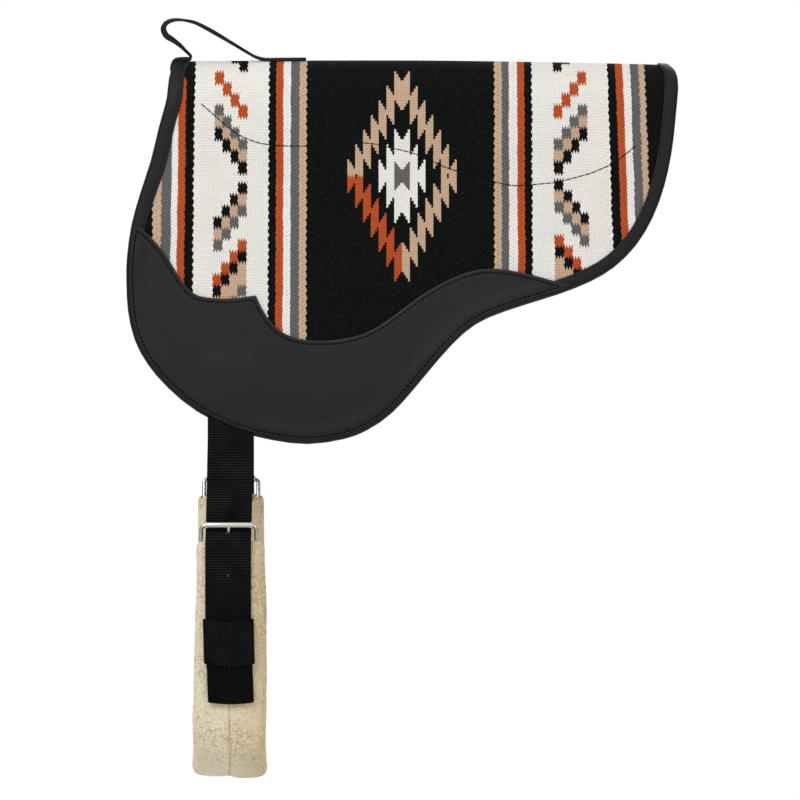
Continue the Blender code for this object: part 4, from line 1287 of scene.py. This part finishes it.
# %% Keepers
keeper_height, keeper_below, keeper_sag, keeper_hem = 0.0500, 0.1278, 0.0034, 0.004
for side_name, side, roller_z in buckle_sides:
    wide, deep, corner = 0.0270, 0.0028, 0.0018
    route = Route(-wide + corner, -deep, 0)
    for length in (2 * (wide - corner), 2 * (deep - corner)) * 2:
        route.ahead(length).turn(corner, 90, 6)
    z = roller_z - keeper_below
    loop = np.array([(billet_x + a, side * tail_out - side * b, z) for a, b in route.points[:-1]])
    keeper = weave_strap(f"{side_name}_keeper_webbing", loop, keeper_height, webbing_thickness,
                         across=(0, 0, 1), looped=True, rib=0.0023)

    def settle(places):
        """Let the keeper follow the billet's drift and sag in the middle of its outer face."""
        front = np.clip((side * places[:, 1] - tail_out) / 0.002, 0, 1)
        bow = 1 - np.clip(np.abs(places[:, 0] - billet_x) / 0.025, 0, 1) ** 2
        moved = places.copy()
        moved[:, 2] -= keeper_sag * front * bow
        if side < 0:
            moved[:, 0] += hang(places[:, 2])
        return moved

    set_vertices(keeper, settle(vertex_array(keeper)))
    finish_piece(keeper, keeper_webbing, "girth", 50)
    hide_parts(f"{side_name}_keeper_loop")
    seams = []
    for edge_z in (z + keeper_height / 2 - keeper_hem, z - keeper_height / 2 + keeper_hem):
        for start, end in ((-0.0262, -0.0232), (0.0232, 0.0262)):
            y = side * (tail_out + deep + webbing_thickness / 2)
            row = np.array([(billet_x + start, y, edge_z), (billet_x + end, y, edge_z)])
            seams.append((settle(row), (0, side, 0)))
    sew(f"{side_name}_keeper_stitches", seams, black_thread, "girth",
        pitch=0.0015, length=0.0014, width=0.0006, fold=False)

# %% [markdown]
# ## Girth
# The girth is a fleece sleeve pulled over a webbing core. The fleece is thick and soft, so this
# is the one piece that is blown up with cloth simulation: a slightly thin sleeve is remeshed into
# even cells, given pressure from inside, and held to less than 2 mm of movement. That rounds its
# edges and leaves soft dents that are tedious to model by hand. Its mouths for the buckles, the
# seam down its middle and its curls come after the simulation, which would have smoothed them.

# %% The sleeve before it is blown up
girth_low, sleeve_thickness, sleeve_cover = -0.7759, 0.026, 0.0135
turn_z = girth_low + sleeve_thickness / 2 + billet_out
bar_below = 0.032
near_bar, off_bar = near_roller_z - bar_below, off_roller_z - bar_below
near_top, off_top = near_bar + sleeve_cover, off_bar + sleeve_cover
end_reach, end_round = 0.0032, 0.007
route = Route(-billet_out, near_top + end_reach, -90).ahead(near_top + end_reach - turn_z)
route.turn(billet_out, 180, 24).ahead(off_top + end_reach - turn_z)
sleeve_line = even_steps(np.array(route.points), 0.0035)
sleeve_length = np.linalg.norm(np.diff(sleeve_line, axis=0), axis=1).sum()
sleeve_share = np.linspace(0, 1, len(sleeve_line))
sleeve_width = np.interp(
    sleeve_share, (0.0, 0.034, 0.113, 0.208, 0.306, 0.5, 0.694, 0.792, 0.887, 0.966, 1.0),
    (0.0765, 0.0778, 0.0800, 0.0845, 0.0855, 0.0850, 0.0855, 0.0845, 0.0800, 0.0778, 0.0765))
run = directions(sleeve_line)
sleeve_out = np.stack([run[:, 1], -run[:, 0]], 1)
left = np.minimum(sleeve_share, 1 - sleeve_share) * sleeve_length
narrowing = end_round - np.sqrt(end_round ** 2 - np.clip(end_round - left, 0, end_round) ** 2)
rings, sleeve_sides = [], 32
for i in range(sleeve_sides):
    angle = 2 * math.pi * i / sleeve_sides
    c, s = math.cos(angle), math.sin(angle)
    a = math.copysign(abs(c) ** 0.40, c) * (sleeve_width / 2 - 0.0010 - narrowing * 0.7)
    d = math.copysign(abs(s) ** 0.62, s) * (sleeve_thickness / 2 - 0.0016 - narrowing * 0.45)
    yz = sleeve_line + sleeve_out * d[:, None]
    rings.append(np.column_stack([billet_x + a, yz]))
sleeve = skin("girth_fleece_sleeve", np.stack(rings, 1))
print("sleeve:", round(sleeve_length, 3), "m long")


# %% Blowing it up
def blow_up(obj, cell, pressure, most, frames=20):
    """Remesh a closed soft shape, inflate it with cloth simulation and cap how far it moves."""
    even = obj.modifiers.new("even", "REMESH")
    even.mode, even.voxel_size = "VOXEL", cell
    apply_all(obj)
    before = vertex_array(obj)
    cloth = obj.modifiers.new("cloth", "CLOTH")
    settings = cloth.settings
    settings.quality = 5
    settings.use_pressure = True
    settings.uniform_pressure_force = pressure
    settings.effector_weights.gravity = 0
    settings.tension_stiffness = settings.compression_stiffness = 12
    settings.bending_stiffness = 0.5
    cloth.point_cache.frame_start, cloth.point_cache.frame_end = 1, frames
    for frame_number in range(1, frames + 1):
        scene.frame_set(frame_number)
    shaped = obj.evaluated_get(bpy.context.evaluated_depsgraph_get())
    after = np.array([v.co for v in shaped.data.vertices])
    obj.modifiers.clear()
    scene.frame_set(1)
    move = after - before
    length = np.linalg.norm(move, axis=1)[:, None]
    after = before + move * np.minimum(1, most / np.maximum(length, 1e-9))
    set_vertices(obj, after)
    print(obj.name, "moved", round(float(length.mean()) * 1000, 2), "mm on average")
    smoother = obj.modifiers.new("smoother", "SUBSURF")
    smoother.levels = smoother.render_levels = 1
    return apply_all(obj)


blow_up(sleeve, 0.004, 4.0, 0.0016)

# %% [markdown]
# The blown sleeve now gets what a simulation would blur: a mouth at each end, through which
# buckle and core come out, the shallow seam that runs down the middle of its outer face, and
# small curls pushed out along the normals. A vertex group keeps the curls out of the mouths, so
# that they don't touch the buckle.

# %% Mouths, seam and curls
def sleeve_frame(places):
    """Where places lie on the sleeve: share of its length, sideways and outward distance."""
    yz = places[:, 1:]
    share, outward = np.zeros(len(yz)), np.zeros(len(yz))
    nearest = np.full(len(yz), 1e9)
    for k, (point, out) in enumerate(zip(sleeve_line, sleeve_out)):
        offset = yz - point
        distance = (offset ** 2).sum(1)
        closer = distance < nearest
        nearest = np.where(closer, distance, nearest)
        share = np.where(closer, k / (len(sleeve_line) - 1), share)
        outward = np.where(closer, offset @ out, outward)
    return share, places[:, 0] - billet_x, outward


mouth_shapes = {
    "frame": (0.0333, -0.0062, 0.0032, 0.0199, 0.02),
    "core web": (0.0262, -0.0089, 0.0018, 0.0564, 0.0),
    "tongue": (0.0032, -0.0100, 0.0096, 0.0199, 0.02),
}
mouth_boxes = []
for side, top_z in ((-1, near_top), (1, off_top)):
    for half, inner, outer, depth, above in mouth_shapes.values():
        ends = sorted((side * (billet_out + inner), side * (billet_out + outer)))
        mouth_boxes.append(((billet_x - half, ends[0], top_z - depth),
                            (billet_x + half, ends[1], top_z + above)))
for low, high in mouth_boxes:
    carve(sleeve, box_tool(low, high))
fine = sleeve.modifiers.new("fine", "REMESH")
fine.mode, fine.voxel_size = "VOXEL", 0.0016
apply_all(sleeve)

places = vertex_array(sleeve)
gap = np.full(len(places), 1e9)
for low, high in mouth_boxes:
    centre, half = (np.array(low) + high) / 2, (np.array(high) - low) / 2
    gap = np.minimum(gap, np.linalg.norm(np.maximum(np.abs(places - centre) - half, 0), axis=1))
free = np.clip((gap - 0.0006) / 0.004, 0, 1)
share, sideways, outward = sleeve_frame(places)
seam_line = 0.0006 + 0.0008 * np.sin(share * 38)
off_seam = sideways - seam_line
groove = np.exp(-(off_seam / 0.0013) ** 2) * np.clip((outward - 0.004) / 0.004, 0, 1)
wide_groove = np.exp(-(off_seam / 0.0045) ** 2) * np.clip(outward / 0.006, 0, 1)
normals = np.zeros(len(places) * 3)
sleeve.data.vertices.foreach_get("normal", normals)
dents = unevenness(places[:, [0, 2]] * 2.2, 0.0007) + unevenness(places[:, [2, 1]] * 4.7, 0.0004)
depth = (dents - wide_groove * 0.0006 - groove * 0.0005) * free
places += normals.reshape(-1, 3) * depth[:, None]
slump_z, slump_height = -0.64, 0.08
low_share = np.clip((slump_z - places[:, 2]) / slump_height, 0, 1)
places[:, 0] -= 0.0010 * low_share
places[:, 2] -= low_share ** 2 * (0.0019 + 0.0018 * np.clip(sideways / 0.01, 0, 1))
set_vertices(sleeve, places)
seam_mark = sleeve.data.attributes.new("seam", "FLOAT", "POINT")
seam_mark.data.foreach_set("value", groove.astype(np.float32))
outside = sleeve.vertex_groups.new(name="outside")
for level in range(1, 11):
    members = np.flatnonzero(np.round(free * 10) == level)
    outside.add([int(member) for member in members], level / 10, "REPLACE")
curls = bpy.data.textures.new("curls", "CLOUDS")
curls.noise_scale, curls.noise_depth = 0.0052, 1
push = sleeve.modifiers.new("push", "DISPLACE")
push.texture, push.texture_coords, push.strength, push.mid_level = curls, "LOCAL", 0.0012, 0.5
push.vertex_group = "outside"
apply_all(sleeve)
print("sleeve size:", np.ptp(vertex_array(sleeve), axis=0).round(4),
      "top near", vertex_array(sleeve)[:, 2].max().round(4))

girth_wool = make_fleece("girth_wool", from_srgb(241, 230, 200), from_srgb(206, 178, 128),
                         0.0046, 0.0010, seam=True)
finish_piece(sleeve, girth_wool, "girth", 60)
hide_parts("girth_fleece")

# %% [markdown]
# ## Core of the girth
# One strap runs from buckle to buckle inside the sleeve. At each end it turns round the frame's
# lower bar and comes back on itself, where it is sewn. A slot in the turn lets the tongue through.
# Only its two turns show, but the whole strap is made, because it carries the load.

# %% The core web
core_out, web_gap = 0.0037, 0.0489
side_leg, leg_drop, leg_slant = 0.0442, 0.042, 45
core_route = Route(-web_gap, near_bar - leg_drop, 90).ahead(0.02613)
core_route.sidestep(side_leg - web_gap, core_out, leg_slant).ahead(0.0081)
core_route.turn(core_out, 180, 16).ahead(core_route.points[-1][1] - turn_z)
core_route.turn(billet_out, 180, 40).ahead(off_bar - turn_z)
core_route.turn(core_out, 180, 16).ahead(0.0081)
core_route.sidestep(web_gap - side_leg, core_out, leg_slant).ahead(0.02613)
core_line = np.array([(billet_x, y, z) for y, z in core_route.points])
core = weave_strap("girth_core_strap", core_line, webbing_width, webbing_thickness)
slot_half = 0.0028
carve(core, *[box_tool((billet_x - slot_half, side * 0.040, bar_z - 0.0075),
                       (billet_x + slot_half, side * 0.056, bar_z + 0.010))
              for side, bar_z in ((-1, near_bar), (1, off_bar))])
finish_piece(core, black_webbing, "girth", 50)
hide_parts("girth_core_web")

# %% [markdown]
# ## Buckles
# Each buckle is a roller buckle of nickel-plated wire: a rectangular frame bent from one wire, a
# tube that turns on its upper side, and a tongue whose eye is bent round its lower side. The
# frame is leaned outward, because the billet pulls its top away from the horse.

# %% Nickel
def make_nickel():
    """Bright plate with fine rub lines and a dull patch here and there."""
    made, tree, shader = new_finish("bright_nickel", 0.24, metallic=1.0)
    vector, _ = place_fields(tree)
    patch = noise_field(tree, vector, 90, 4)
    scratch = noise_field(tree, vector, 1900, 2, 0.6)
    rough = patch * 0.08 + scratch * 0.04 + 0.16
    tree.links.new(rough.socket, shader.inputs["Roughness"])
    paint(tree, shader, from_srgb(206, 202, 195), patch * 0.25 + 0.82)
    raise_surface(tree, shader, patch, 0.00003, 0.4)
    return made


bright_nickel = make_nickel()
wire, bar_out, buckle_width, buckle_corner = 0.0044, 0.0479, 0.0604, 0.005
near_shift = float(hang(near_roller_z))


def cross_bar(vertices, radius, length, place):
    """A round bar that lies across the strap."""
    bpy.ops.object.select_all(action="DESELECT")
    bpy.ops.mesh.primitive_cylinder_add(vertices=vertices, radius=radius, depth=length)
    bar = bpy.context.object
    bar.rotation_euler = (0, math.radians(90), 0)
    bar.location = place
    bpy.ops.object.transform_apply(location=True, rotation=True, scale=True)
    return bar


def bend_wire(name, line, radius, looped=False, sides=20, taper=None):
    """A round wire along a line of places in one plane."""
    flat_normal = np.linalg.svd(line - line.mean(0))[2][2]
    side = np.cross(directions(line, looped), flat_normal)
    size = np.full(len(line), radius) if taper is None else taper
    rings = []
    for i in range(sides):
        angle = 2 * math.pi * i / sides
        spoke = side * math.cos(angle) + flat_normal * math.sin(angle)
        rings.append(line + spoke * size[:, None])
    return skin(name, np.stack(rings, 1), looped)


# %% Frames, rollers and tongues
for side_name, side, roller_z in buckle_sides:
    middle_x = billet_x + (near_shift if side < 0 else 0.0)
    low = np.array([bar_out, roller_z - bar_below])
    high = np.array([roller_out, roller_z])
    height = float(np.linalg.norm(high - low))
    upward = (high - low) / height
    half_wide = buckle_width / 2
    route = Route(-half_wide + buckle_corner, 0, 0)
    for length in (buckle_width - 2 * buckle_corner, height - 2 * buckle_corner) * 2:
        route.ahead(length).turn(buckle_corner, 90, 8)
    loop = np.array(route.points[:-1])
    yz = low + loop[:, 1:] * upward
    line = np.column_stack([middle_x + loop[:, 0], side * yz[:, 0], yz[:, 1]])
    ring = bend_wire(f"{side_name}_buckle_wire", line, wire / 2, looped=True, sides=24)
    finish_piece(ring, bright_nickel, "girth", 60)
    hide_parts(f"{side_name}_buckle_frame")

    roller_place = (middle_x, side * roller_out, roller_z)
    tube = cross_bar(48, 0.00425, 0.0530, roller_place)
    tube.name = tube.data.name = f"{side_name}_buckle_tube"
    carve(tube, cross_bar(40, 0.0025, 0.06, roller_place))
    round_edges(tube, 0.0005, 3)
    finish_piece(tube, bright_nickel, f"{side_name}_roller", 40)
    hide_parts(f"{side_name}_buckle_roller")

    tongue_wire, eye = 0.0036, 0.0043
    outward, tipward = np.array([0.9398, -0.3416]), np.array([0.3416, 0.9398])
    angles = np.radians(np.arange(300, -1, -10))
    turn = [low + eye * (math.cos(a) * outward - math.sin(a) * tipward) for a in angles]
    shaft = [turn[-1] + tipward * s for s in np.arange(1, 35) * 0.001]
    yz = np.array(turn + shaft)
    taper = np.interp(np.arange(len(yz)), (0, 45, 60, 62, 63, 64),
                      (0.0018, 0.0018, 0.0021, 0.0020, 0.0018, 0.0013))
    line = np.column_stack([np.full(len(yz), middle_x), side * yz[:, 0], yz[:, 1]])
    tongue = bend_wire(f"{side_name}_buckle_pin", line, tongue_wire / 2, taper=taper)
    finish_piece(tongue, bright_nickel, f"{side_name}_tongue", 60)
    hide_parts(f"{side_name}_buckle_tongue")

# %% [markdown]
# ## Hand strap
# A narrow webbing handle for the rider. Its front foot is folded down over the ridge's front and
# sewn, the loop stands up and slopes down to the rear, and its tail is sewn flat there. Its line is
# drawn as a soft path in the plane of the ridge and twisted a little on the way.

# %% The hand strap
handle_width, handle_thickness, ridge_radius = 0.0254, 0.0030, 0.052
handle_points = [
    (171.9, 71.5), (171.4, 67.5), (172.4, 62.4), (175.4, 58.9), (180.0, 58.0), (184.0, 57.8),
    (188.4, 57.9), (189.9, 57.4), (190.6, 56.2), (190.2, 55.1), (185.8, 50.8), (179.7, 44.9),
    (172.0, 39.2), (167.0, 36.1), (163.9, 31.5), (163.5, 26.6), (167.3, 21.9), (174.6, 19.6),
    (182.5, 19.8), (193.4, 21.9), (202.0, 25.7), (215.0, 32.8), (231.3, 42.5), (247.6, 52.3),
    (256.5, 56.6), (266.0, 58.7), (276.0, 58.6), (286.0, 58.5), (296.0, 58.4), (306.0, 58.4),
]
handle = from_picture(handle_points) * (1, -1) + (0, blanket_top)
foot_line, tail_line = handle[3:7], handle[-5:]
foot_top, tail_lead, strap_seam = 0.0245, 0.02, 0.0100
handle = even_steps(smooth_line(handle, 10), 0.0004)
share = np.linspace(0, 1, len(handle))
run = directions(handle)
twist = 0.16 * np.exp(-((share - 0.30) / 0.10) ** 2) - 0.05 * np.exp(-((share - 0.55) / 0.1) ** 2)
across = np.column_stack([-run[:, 1] * np.sin(twist), np.cos(twist), run[:, 0] * np.sin(twist)])
line = np.column_stack([handle[:, 0], np.zeros(len(handle)), handle[:, 1]])
hand_webbing = weave_strap("hand_strap_webbing", line, handle_width, handle_thickness,
                           across=across, rib=0.0016)


def drape(places):
    """Sewn flat, the strap's foot and tail bend over the round ridge."""
    x, y, z = places.T
    on_foot = (handle[0, 0] - 0.004 < x) & (x < foot_line[-1, 0] + 0.003) & (z < foot_top)
    on_tail = x > tail_line[0, 0] - tail_lead
    amount = on_foot * 1.0 + on_tail * np.clip((x - tail_line[0, 0] + tail_lead) / tail_lead, 0, 1)
    moved = places.copy()
    moved[:, 2] -= y ** 2 / (2 * ridge_radius) * np.minimum(amount, 1)
    return moved


set_vertices(hand_webbing, drape(vertex_array(hand_webbing)))
finish_piece(hand_webbing, narrow_webbing, "pad", 50)
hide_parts("hand_strap")
seams = []
for row in (foot_line, tail_line):
    inner = even_steps(row, 0.001)[2:-2]
    top = inner[:, 1] + handle_thickness / 2
    for y in (-strap_seam, strap_seam):
        side_row = np.column_stack([inner[:, 0], np.full(len(inner), y), top])
        seams.append((drape(side_row), (0, 0, 1)))
    for i in (0, -1):
        cross_row = np.array([(inner[i, 0], y, top[i])
                              for y in np.linspace(-strap_seam, strap_seam, 9)])
        seams.append((drape(cross_row), (0, 0, 1)))
sew("hand_strap_stitches", seams, black_thread, "pad",
    pitch=0.0028, length=0.0021, width=0.0007, fold=False)

# %% [markdown]
# ## Floor
# A pale plain floor lies well below the girth.

# %% Floor and the end
bpy.ops.object.select_all(action="DESELECT")
floor_z = -1.0
bpy.ops.mesh.primitive_plane_add(size=5, location=(0, 0, floor_z))
floor = bpy.context.object
floor.name = floor.data.name = "studio_floor"
bpy.ops.object.transform_apply(location=True, rotation=True, scale=True)
floor_finish, _, floor_shader = new_finish("floor_paper", 0.9)
floor_shader.inputs["Base Color"].default_value = (0.70, 0.70, 0.70, 1)
floor.data.materials.append(floor_finish)
